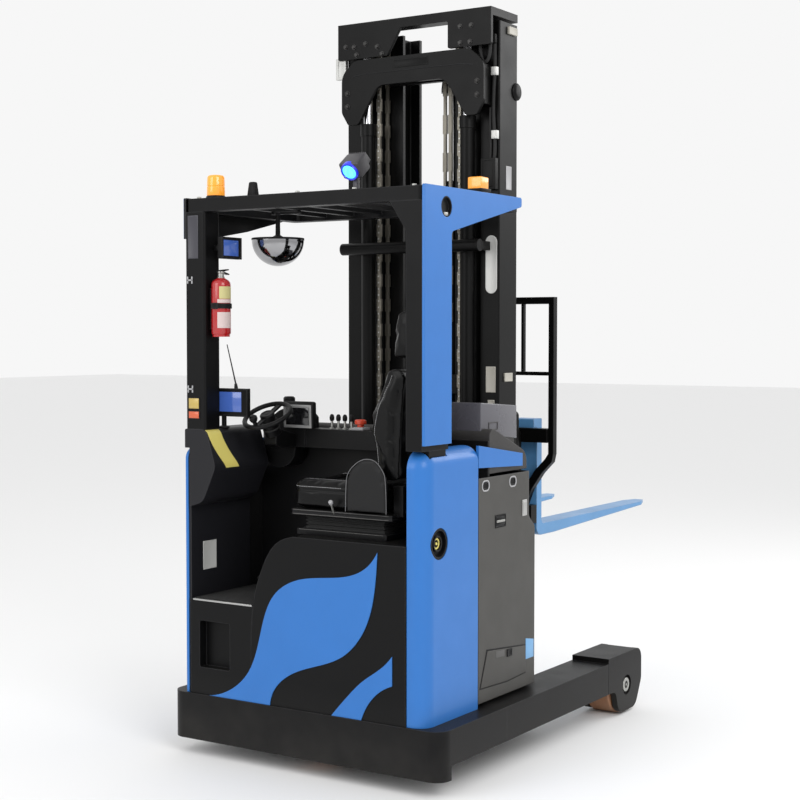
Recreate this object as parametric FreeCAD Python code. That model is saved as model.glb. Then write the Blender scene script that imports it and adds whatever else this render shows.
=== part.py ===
import FreeCAD, Part
import math
import os
from FreeCAD import Vector

# Reach truck, millimetres.  Every size below is measured from the rear face of the
# bumper (x), the centre plane (y, left is positive) and the floor (z).  The pieces
# are moved at the end so that the origin is under the middle of the whole truck.

# ---- driving dimensions: chassis ----
truck_width = 1270.0
bumper_clearance = 64.0
bumper_depth = 70.0
frame_clearance = 116.0
frame_top = 248.0
frame_corner = 60.0
base_length = 480.0
leg_width = 175.0
leg_channel_depth = 55.0
roller_radius = 40.0
roller_play = 0.3

# ---- driving dimensions: wheels ----
load_wheel_x = 1565.0
load_wheel_radius = 125.0
load_wheel_width = 110.0
load_tyre_depth = 28.0
load_axle_radius = 22.0
cheek_wall = 25.0
cheek_radius = 112.0
cheek_rear = 1380.0
cheek_front = 1718.0
wheel_play = 15.0
roof_play = 6.0
roof_thickness = 14.0
cheek_window = 44.0
drive_wheel_x = 235.0
drive_wheel_radius = 171.5
drive_wheel_width = 130.0
drive_tyre_depth = 32.0
drive_axle_radius = 28.0
drive_arch_radius = 205.0
drive_neck_radius = 100.0
drive_plate_bottom = 375.0
drive_plate_thickness = 20.0
drive_motor_radius = 95.0
drive_motor_top = 640.0
running_clearance = 0.05
face_clearance = 0.3

# ---- driving dimensions: body ----
body_half_width = 560.0
body_rear = 6.0
panel_thickness = 12.0
panel_joint = 4.0
side_panel_front = 385.0
side_panel_rear = 10.0
side_panel_top = 1250.0
wall_x = 480.0
wall_thickness = 12.0
battery_front = 770.0
battery_top = 1080.0
battery_rail = 6.0
battery_rail_margin = 4.0
cover_front = 855.0
cover_flat_end = 735.0
cover_brow = 805.0
cover_top = 1125.0
band_bottom = 1165.0
band_top = 1250.0
hood_top = 1320.0
hood_cover_right = -500.0
hood_cover_left = -150.0
socket_radius = 58.0
body_front = 790.0
floor_top = 624.0
floor_inner_y = 203.0
pedestal_top = 905.0
cushion_rear = 62.0
cushion_front = 468.0

# ---- driving dimensions: overhead guard ----
guard_top = 2204.0
guard_depth = 56.0
guard_front = 720.0
pillar_length = 190.0
pillar_width = 81.0
left_pillar_width = 106.0

# ---- driving dimensions: mast ----
mast_rear = 870.0
mast_half_width = 375.0
section_depth = 150.0
flange = 20.0
web = 20.0
stage_step = 30.0
stage_gap = 10.0
mast_bottom = 146.0
mast_top = 2985.0
crossbar_depth = 40.0
outer_mast_top = mast_top - crossbar_depth - 5
arch_top = mast_top - 159
cross_tube_z = 2030.0
cross_tube_radius = 25.0

# ---- driving dimensions: carriage and forks ----
fork_face = 1390.0
fork_length = 1150.0
fork_thickness = 45.0
fork_width = 100.0
fork_spread = 250.0
fork_top = 835.0
fork_bar_half = 375.0
fork_bar_height = 61.0
fork_bar_top = 1260.0
fork_bar_low = 842.0
carriage_half = 300.0
backrest_top = 1830.0
overall_length = fork_face + fork_length

half_width = truck_width / 2
leg_inner = half_width - leg_width
leg_centre = half_width - leg_width / 2
battery_rear = wall_x + wall_thickness + 8
battery_half_width = body_half_width - 40
origin_shift = Vector(-overall_length / 2, 0, 0)


# ---- drawing tools ----
def place(plane, u, v, w):
    if plane == "XY":
        return Vector(u, v, w)
    if plane == "XZ":
        return Vector(u, w, v)
    return Vector(w, u, v)


def flat_face(plane, points, level):
    """Face in a plane; each point is (u, v) or (u, v, corner radius)."""
    corners = []
    count = len(points)
    for index, point in enumerate(points):
        radius = point[2] if len(point) > 2 else 0
        here = Vector(point[0], point[1], 0)
        if radius == 0:
            corners.append((here, None, here))
            continue
        before = Vector(*points[index - 1][:2], 0)
        after = Vector(*points[(index + 1) % count][:2], 0)
        back = (before - here).normalize()
        ahead = (after - here).normalize()
        half = back.getAngle(ahead) / 2
        run = radius / math.tan(half)
        across = (back + ahead).normalize()
        middle = here + across * (radius / math.sin(half) - radius)
        corners.append((here + back * run, middle, here + ahead * run))
    edges = []
    for index, (first, middle, last) in enumerate(corners):
        ends = [place(plane, p.x, p.y, level) for p in (first, last)]
        if middle is not None:
            top = place(plane, middle.x, middle.y, level)
            edges.append(Part.Arc(ends[0], top, ends[1]).toShape())
        following = corners[(index + 1) % count][0]
        target = place(plane, following.x, following.y, level)
        if (target - ends[1]).Length > 0.001:
            edges.append(Part.makeLine(ends[1], target))
    return Part.Face(Part.Wire(edges))


def plate(plane, points, start, end):
    """Prism of an outline, from start to end along the third axis."""
    reach = place(plane, 0, 0, end) - place(plane, 0, 0, start)
    return flat_face(plane, points, start).extrude(reach)


def block(x0, x1, y0, y1, z0, z1):
    return Part.makeBox(x1 - x0, y1 - y0, z1 - z0, Vector(x0, y0, z0))


def rounded(plane, u0, u1, v0, v1, radius, start, end):
    points = [(u0, v0, radius), (u1, v0, radius), (u1, v1, radius), (u0, v1, radius)]
    return plate(plane, points, start, end)


def rod(plane, u, v, radius, start, end):
    """Cylinder square to a plane."""
    base = place(plane, u, v, start)
    return Part.makeCylinder(radius, abs(end - start), base, place(plane, 0, 0, 1))


def ring(plane, u, v, outer, inner, start, end):
    return rod(plane, u, v, outer, start, end).cut(rod(plane, u, v, inner, start, end))


def bar(first, last, radius):
    first = Vector(*first)
    last = Vector(*last)
    return Part.makeCylinder(radius, (last - first).Length, first, last - first)


def tube(points, radius, bend):
    """Round bar along straight runs joined by arcs of one bend radius."""
    points = [Vector(*p) for p in points]
    edges = []
    start = points[0]
    for before, here, after in zip(points, points[1:], points[2:]):
        back = (before - here).normalize()
        ahead = (after - here).normalize()
        half = back.getAngle(ahead) / 2
        run = bend / math.tan(half)
        middle = here + (back + ahead).normalize() * (bend / math.sin(half) - bend)
        edges.append(Part.makeLine(start, here + back * run))
        edges.append(Part.Arc(here + back * run, middle, here + ahead * run).toShape())
        start = here + ahead * run
    edges.append(Part.makeLine(start, points[-1]))
    profile = Part.Wire(Part.makeCircle(radius, points[0], points[1] - points[0]))
    return Part.Wire(edges).makePipeShell([profile], True, False)


def mirrored(shape):
    return shape.mirror(Vector(0, 0, 0), Vector(0, 1, 0))


def joined(first, *others):
    return first.fuse(list(others)).removeSplitter()


def softened(shape, radius, chosen):
    edges = [edge for edge in shape.Edges if chosen(edge)]
    return shape.makeFillet(radius, edges)


def turned(centre, outline):
    """Solid of revolution about an upright axis; outline points are (radius, height)."""
    points = [(centre.x + radius, centre.z + height) for radius, height in outline]
    return flat_face("XZ", points, centre.y).revolve(centre, Vector(0, 0, 1), 360)


def bevelled(shape, size, chosen):
    return shape.makeChamfer(size, [edge for edge in shape.Edges if chosen(edge)])


def runs_along(edge, axis):
    if not isinstance(edge.Curve, Part.Line):
        return False
    direction = edge.Curve.Direction
    return abs(getattr(direction, axis)) > 0.999


def save(name, *solids):
    shapes = []
    for solid in solids:
        moved = solid.copy()
        moved.translate(origin_shift)
        shapes.append(moved)
    shape = shapes[0] if len(shapes) == 1 else Part.makeCompound(shapes)
    shape.exportStep("parts/" + name + ".step")


# ---- chassis ----
def base_frame():
    """Cast base: deep rear bumper, thinner slab ahead of it, and the bridge that
    carries the drive unit over its arch."""
    corner = frame_corner
    upper = plate("XY", [(0, -half_width, corner), (base_length, -half_width),
                         (base_length, half_width), (0, half_width, corner)],
                  frame_clearance, frame_top)
    lower = plate("XY", [(0, -half_width, corner), (bumper_depth, -half_width),
                         (bumper_depth, half_width), (0, half_width, corner)],
                  bumper_clearance, frame_clearance + 1)
    frame = joined(upper, lower)
    frame = frame.cut(rod("XY", drive_wheel_x, 0, drive_arch_radius, 0, frame_top + 1))
    bridge_half = drive_arch_radius + 25
    bridge_wall = 20
    rear = drive_wheel_x - drive_neck_radius - 60
    front = drive_wheel_x + drive_neck_radius + 60
    walls = [block(rear, front, side * bridge_half - bridge_wall / 2,
                   side * bridge_half + bridge_wall / 2, frame_top - 1, drive_plate_bottom + 1)
             for side in (-1, 1)]
    edge = bridge_half + bridge_wall / 2
    top = block(rear, front, -edge, edge, drive_plate_bottom,
                drive_plate_bottom + drive_plate_thickness)
    frame = joined(frame, *walls, top)
    neck_hole = rod("XY", drive_wheel_x, 0, drive_neck_radius + running_clearance,
                    frame_top, drive_plate_bottom + drive_plate_thickness + 1)
    return frame.cut(neck_hole)


def leg():
    """Left support leg: channel open to the inside for the reach rollers, a flat rail
    on top that the battery slides on, and raised cheeks that hold the load wheel."""
    room_rear = load_wheel_x - load_wheel_radius - wheel_play
    roof_bottom = 2 * load_wheel_radius + roof_play
    cheek_top = roof_bottom + roof_thickness
    body = block(base_length, room_rear, leg_inner, half_width, frame_clearance, frame_top)
    channel_bottom = channel_middle() - roller_radius - roller_play
    channel_top = channel_middle() + roller_radius + roller_play
    channel = block(base_length + 10, cheek_rear - 20, leg_inner - 1,
                    leg_inner + leg_channel_depth, channel_bottom, channel_top)
    low = load_wheel_radius - cheek_radius
    outline = [(cheek_rear, frame_clearance),
               (load_wheel_x - cheek_radius, frame_clearance, 40),
               (load_wheel_x - cheek_radius + 30, low, 60),
               (load_wheel_x + cheek_radius - 20, low, 60),
               (cheek_front, frame_clearance + 10, 60),
               (cheek_front, cheek_top, 50),
               (cheek_rear, cheek_top)]
    outer = plate("XZ", outline, half_width - cheek_wall, half_width)
    inner = plate("XZ", outline, leg_inner, leg_inner + cheek_wall)
    roof = block(room_rear - 1, cheek_front - 50, leg_inner, half_width, roof_bottom, cheek_top)
    back = block(cheek_rear, room_rear, leg_inner, half_width, frame_clearance, cheek_top)
    body = joined(body.cut(channel), outer, inner, roof, back)
    window = rod("XZ", load_wheel_x, load_wheel_radius, cheek_window,
                 half_width - cheek_wall / 2, half_width + 1)
    seam = block(cheek_rear - 4, cheek_rear, half_width - 3, half_width + 1,
                 frame_clearance - 1, frame_top + 1)
    pin = rod("XZ", load_wheel_x, load_wheel_radius, load_axle_radius,
              leg_inner + 4, half_width - 3)
    rail = block(battery_rear - battery_rail_margin, battery_front + battery_rail_margin,
                 leg_inner, battery_half_width + battery_rail_margin,
                 frame_top - 1, frame_top + battery_rail)
    return joined(body.cut(window).cut(seam), pin, rail)


def channel_middle():
    return (frame_clearance + frame_top) / 2


def load_hub():
    y0 = leg_centre - load_wheel_width / 2
    y1 = leg_centre + load_wheel_width / 2
    rim = load_wheel_radius - load_tyre_depth
    bore = load_axle_radius + running_clearance
    hub = ring("XZ", load_wheel_x, load_wheel_radius, rim, bore, y0 + 3, y1 - 3)
    for start, end in ((y0 + 2, y0 + 18), (y1 - 18, y1 - 2)):
        hub = hub.cut(ring("XZ", load_wheel_x, load_wheel_radius, rim - 12,
                           load_axle_radius + 22, start, end))
    return hub


def load_tyre():
    rim = load_wheel_radius - load_tyre_depth
    tyre = ring("XZ", load_wheel_x, load_wheel_radius, load_wheel_radius, rim,
                leg_centre - load_wheel_width / 2, leg_centre + load_wheel_width / 2)
    return bevelled(tyre, 6, lambda e: abs(e.Length - 2 * math.pi * load_wheel_radius) < 1)


def drive_unit():
    """Gearbox leg beside the wheel, axle pin, turntable neck and upright motor."""
    flange_top = drive_plate_bottom - face_clearance
    flange = rod("XY", drive_wheel_x, 0, drive_neck_radius + 45, flange_top - 22, flange_top)
    neck_top = drive_plate_bottom + drive_plate_thickness + face_clearance
    neck = rod("XY", drive_wheel_x, 0, drive_neck_radius, flange_top - 1, neck_top)
    collar = rod("XY", drive_wheel_x, 0, drive_neck_radius + 22, neck_top, neck_top + 24)
    motor = rod("XY", drive_wheel_x, 0, drive_motor_radius, neck_top + 23, drive_motor_top)
    wall_y = drive_wheel_width / 2 + 6
    gear = plate("XZ", [(drive_wheel_x - 70, flange_top - 10),
                        (drive_wheel_x - 62, drive_wheel_radius - 62, 55),
                        (drive_wheel_x + 62, drive_wheel_radius - 62, 55),
                        (drive_wheel_x + 70, flange_top - 10)], -wall_y - 42, -wall_y)
    axle = rod("XZ", drive_wheel_x, drive_wheel_radius, drive_axle_radius,
               -wall_y - 1, drive_wheel_width / 2 + 8)
    cap = rod("XZ", drive_wheel_x, drive_wheel_radius, drive_axle_radius + 14,
              drive_wheel_width / 2 + face_clearance, drive_wheel_width / 2 + 12)
    return joined(flange, neck, collar, motor, gear, axle, cap)


def drive_hub():
    rim = drive_wheel_radius - drive_tyre_depth
    edge = drive_wheel_width / 2
    hub = ring("XZ", drive_wheel_x, drive_wheel_radius, rim,
               drive_axle_radius + running_clearance, -edge, edge)
    for start, end in ((-edge - 1, -edge + 24), (edge - 24, edge + 1)):
        hub = hub.cut(ring("XZ", drive_wheel_x, drive_wheel_radius, rim - 14,
                           drive_axle_radius + 24, start, end))
    return hub


def drive_tyre():
    rim = drive_wheel_radius - drive_tyre_depth
    edge = drive_wheel_width / 2
    tyre = ring("XZ", drive_wheel_x, drive_wheel_radius, drive_wheel_radius, rim, -edge, edge)
    return bevelled(tyre, 7, lambda e: abs(e.Length - 2 * math.pi * drive_wheel_radius) < 1)


def make_chassis():
    save("base_frame", base_frame())
    save("leg_left", leg())
    save("leg_right", mirrored(leg()))
    save("load_hub_left", load_hub())
    save("load_hub_right", mirrored(load_hub()))
    save("load_tyre_left", load_tyre())
    save("load_tyre_right", mirrored(load_tyre()))
    save("drive_unit", drive_unit())
    save("drive_hub", drive_hub())
    save("drive_tyre", drive_tyre())


# ---- body ----
def side_panel_right():
    """Blue rear side panel with a rolled rear edge and a round socket hole."""
    roll = 60
    bottom = frame_top
    outer = plate("XZ", [(side_panel_rear, bottom), (side_panel_front, bottom),
                         (side_panel_front, side_panel_top),
                         (side_panel_rear, side_panel_top, 70)],
                  -body_half_width, -body_half_width + roll + 20)
    edges = [e for e in outer.Edges if runs_along(e, "z")
             and abs(e.CenterOfMass.x - side_panel_rear) < 1
             and abs(e.CenterOfMass.y + body_half_width) < 1]
    outer = outer.makeFillet(roll, edges)
    hollow = plate("XZ", [(side_panel_rear + panel_thickness, bottom - 1),
                          (side_panel_front + 1, bottom - 1),
                          (side_panel_front + 1, side_panel_top - panel_thickness),
                          (side_panel_rear + panel_thickness, side_panel_top - panel_thickness,
                           70 - panel_thickness)],
                   -body_half_width + panel_thickness, -body_half_width + roll + 21)
    hollow_edges = [e for e in hollow.Edges if runs_along(e, "z")
                    and e.CenterOfMass.x < side_panel_rear + panel_thickness + 1
                    and e.CenterOfMass.y < -body_half_width + panel_thickness + 1]
    hollow = hollow.makeFillet(roll - panel_thickness, hollow_edges)
    socket = rod("XZ", 108, 910, socket_radius, -body_half_width - 1, -body_half_width + panel_thickness + 5)
    pillar_hole = block(58, 179, -body_half_width + panel_thickness, -body_half_width + roll + 21,
                        side_panel_top - 75, side_panel_top + 1)
    return outer.cut(hollow).cut(socket).cut(pillar_hole)


def side_panel_left():
    """Blue left side wall of the operator space."""
    return plate("XZ", [(side_panel_rear, frame_top), (side_panel_front, frame_top),
                        (side_panel_front, 1200), (side_panel_rear, 1221, 40)],
                 body_half_width - panel_thickness, body_half_width)


def cover_form(inset):
    """Form of a battery cover from the side, its front cut back over the shoulder."""
    rear = side_panel_front + panel_joint
    reach = cover_front - inset
    brow = cover_brow - inset
    return [(rear, 265), (reach, 265), (reach, 905 - inset / 2, 20),
            (brow, 947 - inset / 2, 20), (brow, cover_top), (rear, cover_top)]


def battery_cover():
    """Right battery cover: flat side turned round the front corner."""
    y = -body_half_width
    depth = 150
    solid = plate("XZ", cover_form(0), y, y + depth)
    front = [e for e in solid.Edges if abs(e.CenterOfMass.y - y) < 0.1
             and e.CenterOfMass.x > cover_brow - 1 and abs(e.CenterOfMass.z - 265) > 1
             and abs(e.CenterOfMass.z - cover_top) > 1]
    solid = solid.makeFillet(22, front)
    room = plate("XZ", cover_form(panel_thickness), y + panel_thickness, y + depth + 1)
    ends = block(0, side_panel_front + panel_joint + 1, y + panel_thickness, y + depth + 1, 200, 1200)
    low = block(0, cover_front - panel_thickness, y + panel_thickness, y + depth + 1, 200, 266)
    high = block(0, cover_brow - panel_thickness, y + panel_thickness, y + depth + 1,
                 cover_top - 1, cover_top + 1)
    shell = solid.cut(room).cut(ends).cut(low).cut(high)
    for x in (442, 655):
        shell = shell.cut(rounded("XZ", x - 25, x + 25, 1079, 1111, 15.5, y - 1,
                                  y + panel_thickness + 1))
    return shell


def hood_band():
    y = -body_half_width
    rear = side_panel_front + panel_joint
    return plate("XZ", [(rear, band_bottom), (cover_flat_end, 1150), (cover_flat_end, 1200),
                        (rear, band_top)], y, y + panel_thickness)


def hood():
    """Dark moulded top over battery and hydraulics, with a raised cover on the right."""
    y = body_half_width - panel_thickness - face_clearance
    rear = wall_x + wall_thickness + face_clearance
    profile = [(rear, cover_top + 10), (body_front, cover_top + 10),
               (body_front, 1200, 60), (rear, hood_top, 30)]
    raised = plate("XZ", [(rear + 12, hood_top - 60), (body_front - 22, hood_top - 110),
                          (body_front - 8, hood_top + 62, 30), (rear + 12, hood_top + 82, 12)],
                   hood_cover_right, hood_cover_left)
    return joined(plate("XZ", profile, -y, y), raised)


def make_body():
    save("side_panel_right", side_panel_right())
    save("side_panel_left", side_panel_left())
    save("battery", block(battery_rear, battery_front, -battery_half_width, battery_half_width,
                          frame_top + battery_rail + face_clearance, battery_top))
    save("battery_covers", battery_cover(), mirrored(battery_cover()))
    save("hood_bands", hood_band(), mirrored(hood_band()))
    save("hood", hood())


# ---- operator space ----
def curved_face(plane, start, stretches, level):
    """Face bounded by lines (one point), arcs (two points) and splines (more)."""
    here = place(plane, start[0], start[1], level)
    edges = []
    for stretch in stretches:
        points = [here] + [place(plane, u, v, level) for u, v in stretch]
        if len(points) == 2:
            edges.append(Part.makeLine(*points))
        elif len(points) == 3:
            edges.append(Part.Arc(*points).toShape())
        else:
            curve = Part.BSplineCurve()
            curve.interpolate(points)
            edges.append(curve.toShape())
        here = points[-1]
    return Part.Face(Part.Wire(edges))


def curved_plate(plane, start, stretches, low, high):
    reach = place(plane, 0, 0, high) - place(plane, 0, 0, low)
    return curved_face(plane, start, stretches, low).extrude(reach)


pedestal_right_y = -478.0
pedestal_edge = [(232, 480), (205, 698), (172, 784), (132, 851), (58, 898)]


def pedestal_mass(margin):
    """The pedestal's outer form, grown to the left by a margin."""
    edge = [(y + margin, z) for y, z in pedestal_edge]
    return curved_plate("YZ", (244 + margin, frame_top),
                        [edge, [(30, pedestal_top)], [(pedestal_right_y, pedestal_top)],
                         [(pedestal_right_y, frame_top)], [(244 + margin, frame_top)]],
                        body_rear, wall_x)


def pedestal():
    """Seat pedestal: rear panel, swept left flank and seat deck over the drive unit."""
    skin = panel_thickness
    solid = pedestal_mass(0)
    inner_edge = [(y - skin, z) for y, z in pedestal_edge[:3]]
    room = curved_plate("YZ", (244 - skin, frame_top - 1),
                        [inner_edge + [(117, 842), (52, 884)], [(20, pedestal_top - skin)],
                         [(pedestal_right_y + skin, pedestal_top - skin)],
                         [(pedestal_right_y + skin, frame_top - 1)],
                         [(244 - skin, frame_top - 1)]], body_rear + skin, wall_x + 1)
    under_floor = block(body_rear + skin, wall_x + 1, 0, 300, frame_top - 1, floor_top - 30)
    return solid.cut(room).cut(under_floor)


def floor_step():
    """Step floor and its riser with a recessed pocket."""
    skin = panel_thickness
    left = body_half_width - panel_thickness * 2 - face_clearance
    solid = curved_plate("YZ", (left, frame_top),
                         [[(left, floor_top)], [(floor_inner_y - 40, floor_top)],
                          [(floor_inner_y - 40, frame_top)], [(left, frame_top)]], body_rear, wall_x)
    keep = block(body_rear + skin, wall_x + 1, 0, left - skin, frame_top - 1, floor_top - 20)
    pocket_wall = rounded("YZ", 330, 497, 348, 549, 10, body_rear, body_rear + 48)
    pocket = rounded("YZ", 338, 489, 356, 541, 8, body_rear - 1, body_rear + 40)
    return solid.cut(keep).fuse(pocket_wall).cut(pocket).cut(pedestal_mass(1.0))


def bulkhead():
    """Wall between the operator space and the battery, with its dash ledge."""
    side = body_half_width - panel_thickness - face_clearance
    return plate("YZ", [(-side, frame_top + 16), (side, frame_top + 16), (side, 1150, 20),
                        (300, 1262, 60), (-side, 1262)],
                 wall_x + face_clearance, wall_x + wall_thickness)


def dash():
    """Front ledge with lever pad and the instrument dome."""
    ledge = rounded("YZ", -220, 300, 1212, 1288, 18, wall_x - 90, wall_x)
    dome = curved_plate("YZ", (300, 1212), [[(455, 1240), (440, 1262)],
                        [(400, 1345), (250, 1330)], [(250, 1212)], [(300, 1212)]],
                        wall_x - 96, wall_x)
    return joined(ledge, dome)


def levers():
    """Four hydraulic levers and the mushroom stop on the ledge."""
    pieces = []
    for index in range(4):
        y = 56 + index * 32
        stem = rod("XY", wall_x - 45, y, 5, 1288, 1322)
        grip = rod("XY", wall_x - 45, y, 10, 1321, 1348)
        pieces.append(joined(stem, grip))
    stop = joined(rod("XY", wall_x - 45, 12, 14, 1288, 1312),
                  rod("XY", wall_x - 45, 12, 24, 1311, 1330))
    return pieces + [stop]


def console_left():
    """Moulded arm console on the left wall, under the left pillar, and the black
    lining of the wall."""
    solid = plate("YZ", [(body_half_width, 1297, 8), (452, 1297, 30), (405, 1150, 60),
                         (470, 1010, 60), (body_half_width - 23, 990),
                         (body_half_width - 23, 1222), (body_half_width, 1222)],
                  body_rear, 345)
    inside = body_half_width - 2 * panel_thickness
    lining = plate("XZ", [(side_panel_rear + 4, frame_top), (side_panel_front, frame_top),
                          (side_panel_front, 1200), (side_panel_rear + 4, 1220, 40)],
                   inside, inside + panel_thickness - face_clearance)
    return joined(solid, lining)


steering_centre = Vector(230, 322, 1345)
steering_radius = 105.0
steering_lean = 28.0


def leaned(shape):
    return shape.rotate(steering_centre, Vector(0, 1, 0), -steering_lean)


def steering_column():
    """Leaning hub and shaft on a bracket that reaches out of the dash."""
    c = steering_centre
    hub = rod("XY", c.x, c.y, 34, c.z - 84, c.z - 26)
    neck = rod("XY", c.x, c.y, 12, c.z - 27, c.z + 2)
    head = leaned(joined(hub, neck))
    arm = plate("XZ", [(c.x + 18, c.z - 118, 10), (c.x + 60, c.z - 132, 20), (wall_x - 96, c.z - 132),
                       (wall_x - 96, c.z - 80), (c.x + 70, c.z - 60, 20), (c.x + 26, c.z - 50, 10)],
                c.y - 28, c.y + 28)
    return joined(head, arm)


def steering_wheel():
    c = steering_centre
    middle = steering_radius - 10
    section = [(middle + 10, 0), (middle + 5, 9), (middle - 5, 9), (middle - 10, 0),
               (middle - 5, -9), (middle + 5, -9)]
    rim = turned(c, section)
    spokes = [block(c.x - steering_radius + 12, c.x + steering_radius - 12,
                    c.y - 11, c.y + 11, c.z - 6, c.z + 4)]
    boss = rod("XY", c.x, c.y, 30, c.z - 24, c.z + 12)
    knob = joined(rod("XY", c.x - steering_radius + 22, c.y, 8, c.z, c.z + 24),
                  rod("XY", c.x - steering_radius + 22, c.y, 16, c.z + 23, c.z + 48))
    wheel = joined(rim, *spokes, boss, knob)
    wheel = wheel.cut(rod("XY", c.x, c.y, 12 + running_clearance, c.z - 25, c.z + 2 + face_clearance))
    return leaned(wheel)


def seat_base():
    low = rounded("XY", 90, 440, -340, 70, 30, pedestal_top, pedestal_top + 22)
    bellows = rounded("XY", 110, 420, -320, 50, 40, pedestal_top + 21, pedestal_top + 78)
    deck = rounded("XY", 75, 455, -375, 85, 30, pedestal_top + 77, pedestal_top + 100)
    hinge = block(110, 420, -400, -355, pedestal_top + 90, pedestal_top + 212)
    return joined(low, bellows, deck, hinge)


def hip_pads():
    """Moulded side guards of the seat, standing against the ends of the cushion."""
    low = pedestal_top + 103
    outline = [(-188, low, 12), (-188, low + 122, 60), (-262, low + 206, 45),
               (-318, low + 206, 50), (-374, low + 132, 60), (-374, low, 12)]
    rear = cushion_rear - face_clearance
    front = cushion_front + face_clearance
    return [plate("YZ", outline, rear - 22, rear), plate("YZ", outline, front, wall_x)]


def seat_cushion():
    z = pedestal_top + 100 + face_clearance
    solid = rounded("XY", cushion_rear, cushion_front, -350, 112, 60, z, z + 112)
    return softened(solid, 28, lambda e: e.CenterOfMass.z > z + 111)


def seat_back():
    z = pedestal_top + 112 + 100 + 2 * face_clearance
    profile = [(-298, z, 20), (-258, z + 190, 60), (-264, z + 262, 60),
               (-345, z + 436, 28), (-430, z + 448, 45), (-398, z, 20)]
    back = plate("YZ", profile, 80, 450)
    for post in headrest_posts(7 + face_clearance):
        back = back.cut(post)
    return back


def headrest_posts(radius):
    z = pedestal_top + 672
    return [bar((x, -382, z - 60), (x, -392, z + 20), radius) for x in (215, 315)]


def headrest():
    z = pedestal_top + 672
    cushion = plate("YZ", [(-313, z, 25), (-322, z + 180, 35), (-432, z + 188, 40), (-428, z, 25)],
                    160, 370)
    return cushion.fuse(headrest_posts(7)).removeSplitter()


def pedals():
    made = []
    for y in (250, 340, 430):
        made.append(plate("XZ", [(wall_x, floor_top + 60), (wall_x, floor_top + 90),
                                 (wall_x - 105, floor_top + 38, 4), (wall_x - 100, floor_top + 22, 4)],
                          y, y + 62))
    return made


livery_thickness = 3.0


def livery():
    """Blue sweeps inlaid on the rear panel, rising from the step to the right."""
    low = frame_top + face_clearance
    upper = curved_plate("YZ", (-357, 875),
                         [[(-346, 745), (-300, 585), (-200, 474), (-60, 418), (60, 366),
                           (118, 310), (139, low)], [(440, low)],
                          [(330, 286), (245, 362), (195, 478), (165, 586), (118, 675), (20, 738),
                           (-120, 762), (-260, 788), (-357, 875)]],
                         body_rear - livery_thickness, body_rear)
    lower = curved_plate("YZ", (-421, 500),
                         [[(-363, 444), (-289, 392), (-230, 336), (-177, 279), (-150, low)],
                          [(-285, low)], [(-319, 315), (-363, 360), (-421, 391)], [(-421, 500)]],
                         body_rear - livery_thickness, body_rear)
    return upper, lower


def make_operator_space():
    save("pedestal", pedestal())
    save("livery", *livery())
    save("floor_step", floor_step())
    save("bulkhead", bulkhead())
    save("dash", dash())
    save("console_left", console_left())
    save("steering_column", steering_column())
    save("steering_wheel", steering_wheel())
    save("controls", *levers(), *pedals())
    save("seat_base", seat_base(), *hip_pads())
    save("seat_cushion", seat_cushion())
    save("seat_back", seat_back())
    save("headrest", headrest())


# ---- overhead guard ----
def guard_pillar_right():
    """Right rear pillar, standing on the base inside the side panel."""
    y0 = -body_half_width + panel_thickness + face_clearance
    lower = block(62, 175, y0 + 4, y0 + 64,
                  frame_top, side_panel_top + 1)
    upper = block(body_rear, pillar_length - 4, y0, -body_half_width + pillar_width,
                  side_panel_top, guard_top - guard_depth)
    gusset = plate("YZ", [(-body_half_width + pillar_width - 1, guard_top - guard_depth),
                          (-body_half_width + pillar_width - 1, 2040),
                          (-body_half_width + pillar_width + 70, guard_top - guard_depth)],
                   body_rear, 50)
    return joined(lower, upper, gusset)


def guard_pillar_left():
    y1 = body_half_width - panel_thickness - face_clearance
    upper = block(body_rear, 100, body_half_width - left_pillar_width, y1, 1297, guard_top - guard_depth)
    return softened(upper, 12, lambda e: runs_along(e, "z")
                    and e.CenterOfMass.y < body_half_width - left_pillar_width + 1)


def guard_skin():
    """Blue side skin: pillar face running into the tapered roof side, right side."""
    outline = [(body_rear, side_panel_top + 21), (pillar_length, side_panel_top + 21),
               (pillar_length, guard_top - 160, 18), (392, guard_top - 112, 60),
               (guard_front, guard_top - 36, 10),
               (guard_front, guard_top, 10), (body_rear, guard_top, 6)]
    skin = plate("XZ", outline, -body_half_width, -body_half_width + panel_thickness)
    return skin.cut(rod("XZ", 154, guard_top - 72, 38, -body_half_width - 1,
                        -body_half_width + 20))


def guard_skin_left():
    outline = [(body_rear, guard_top - 160), (110, guard_top - 160, 18),
               (392, guard_top - 112, 60), (guard_front, guard_top - 36, 10),
               (guard_front, guard_top, 10), (body_rear, guard_top, 6)]
    return plate("XZ", outline, body_half_width - panel_thickness, body_half_width)


def guard_roof():
    """Roof frame: rear and front beams, side beams and the bars over the operator."""
    low = guard_top - guard_depth
    y = body_half_width - panel_thickness - face_clearance
    frame = rounded("XY", body_rear, guard_front - 2, -y, y, 20, low, guard_top - 4)
    room = rounded("XY", 62, guard_front - 60, -y + 58, y - 58, 15, low - 1, guard_top)
    frame = frame.cut(room)
    bars = []
    count = 6
    span = 2 * (y - 58)
    for index in range(count):
        middle = -y + 58 + span * (index + 1) / (count + 1)
        bars.append(block(60, guard_front - 58, middle - 11, middle + 11, low + 12, guard_top - 10))
    return joined(frame, *bars)


def beacon():
    x, y = 60, 440
    base = rod("XY", x, y, 42, guard_top - 4, guard_top + 14)
    lens = Part.makeCone(36, 31, 66, Vector(x, y, guard_top + 13), Vector(0, 0, 1))
    cap = rod("XY", x, y, 31, guard_top + 78, guard_top + 88)
    return joined(base, lens, cap)


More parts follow.
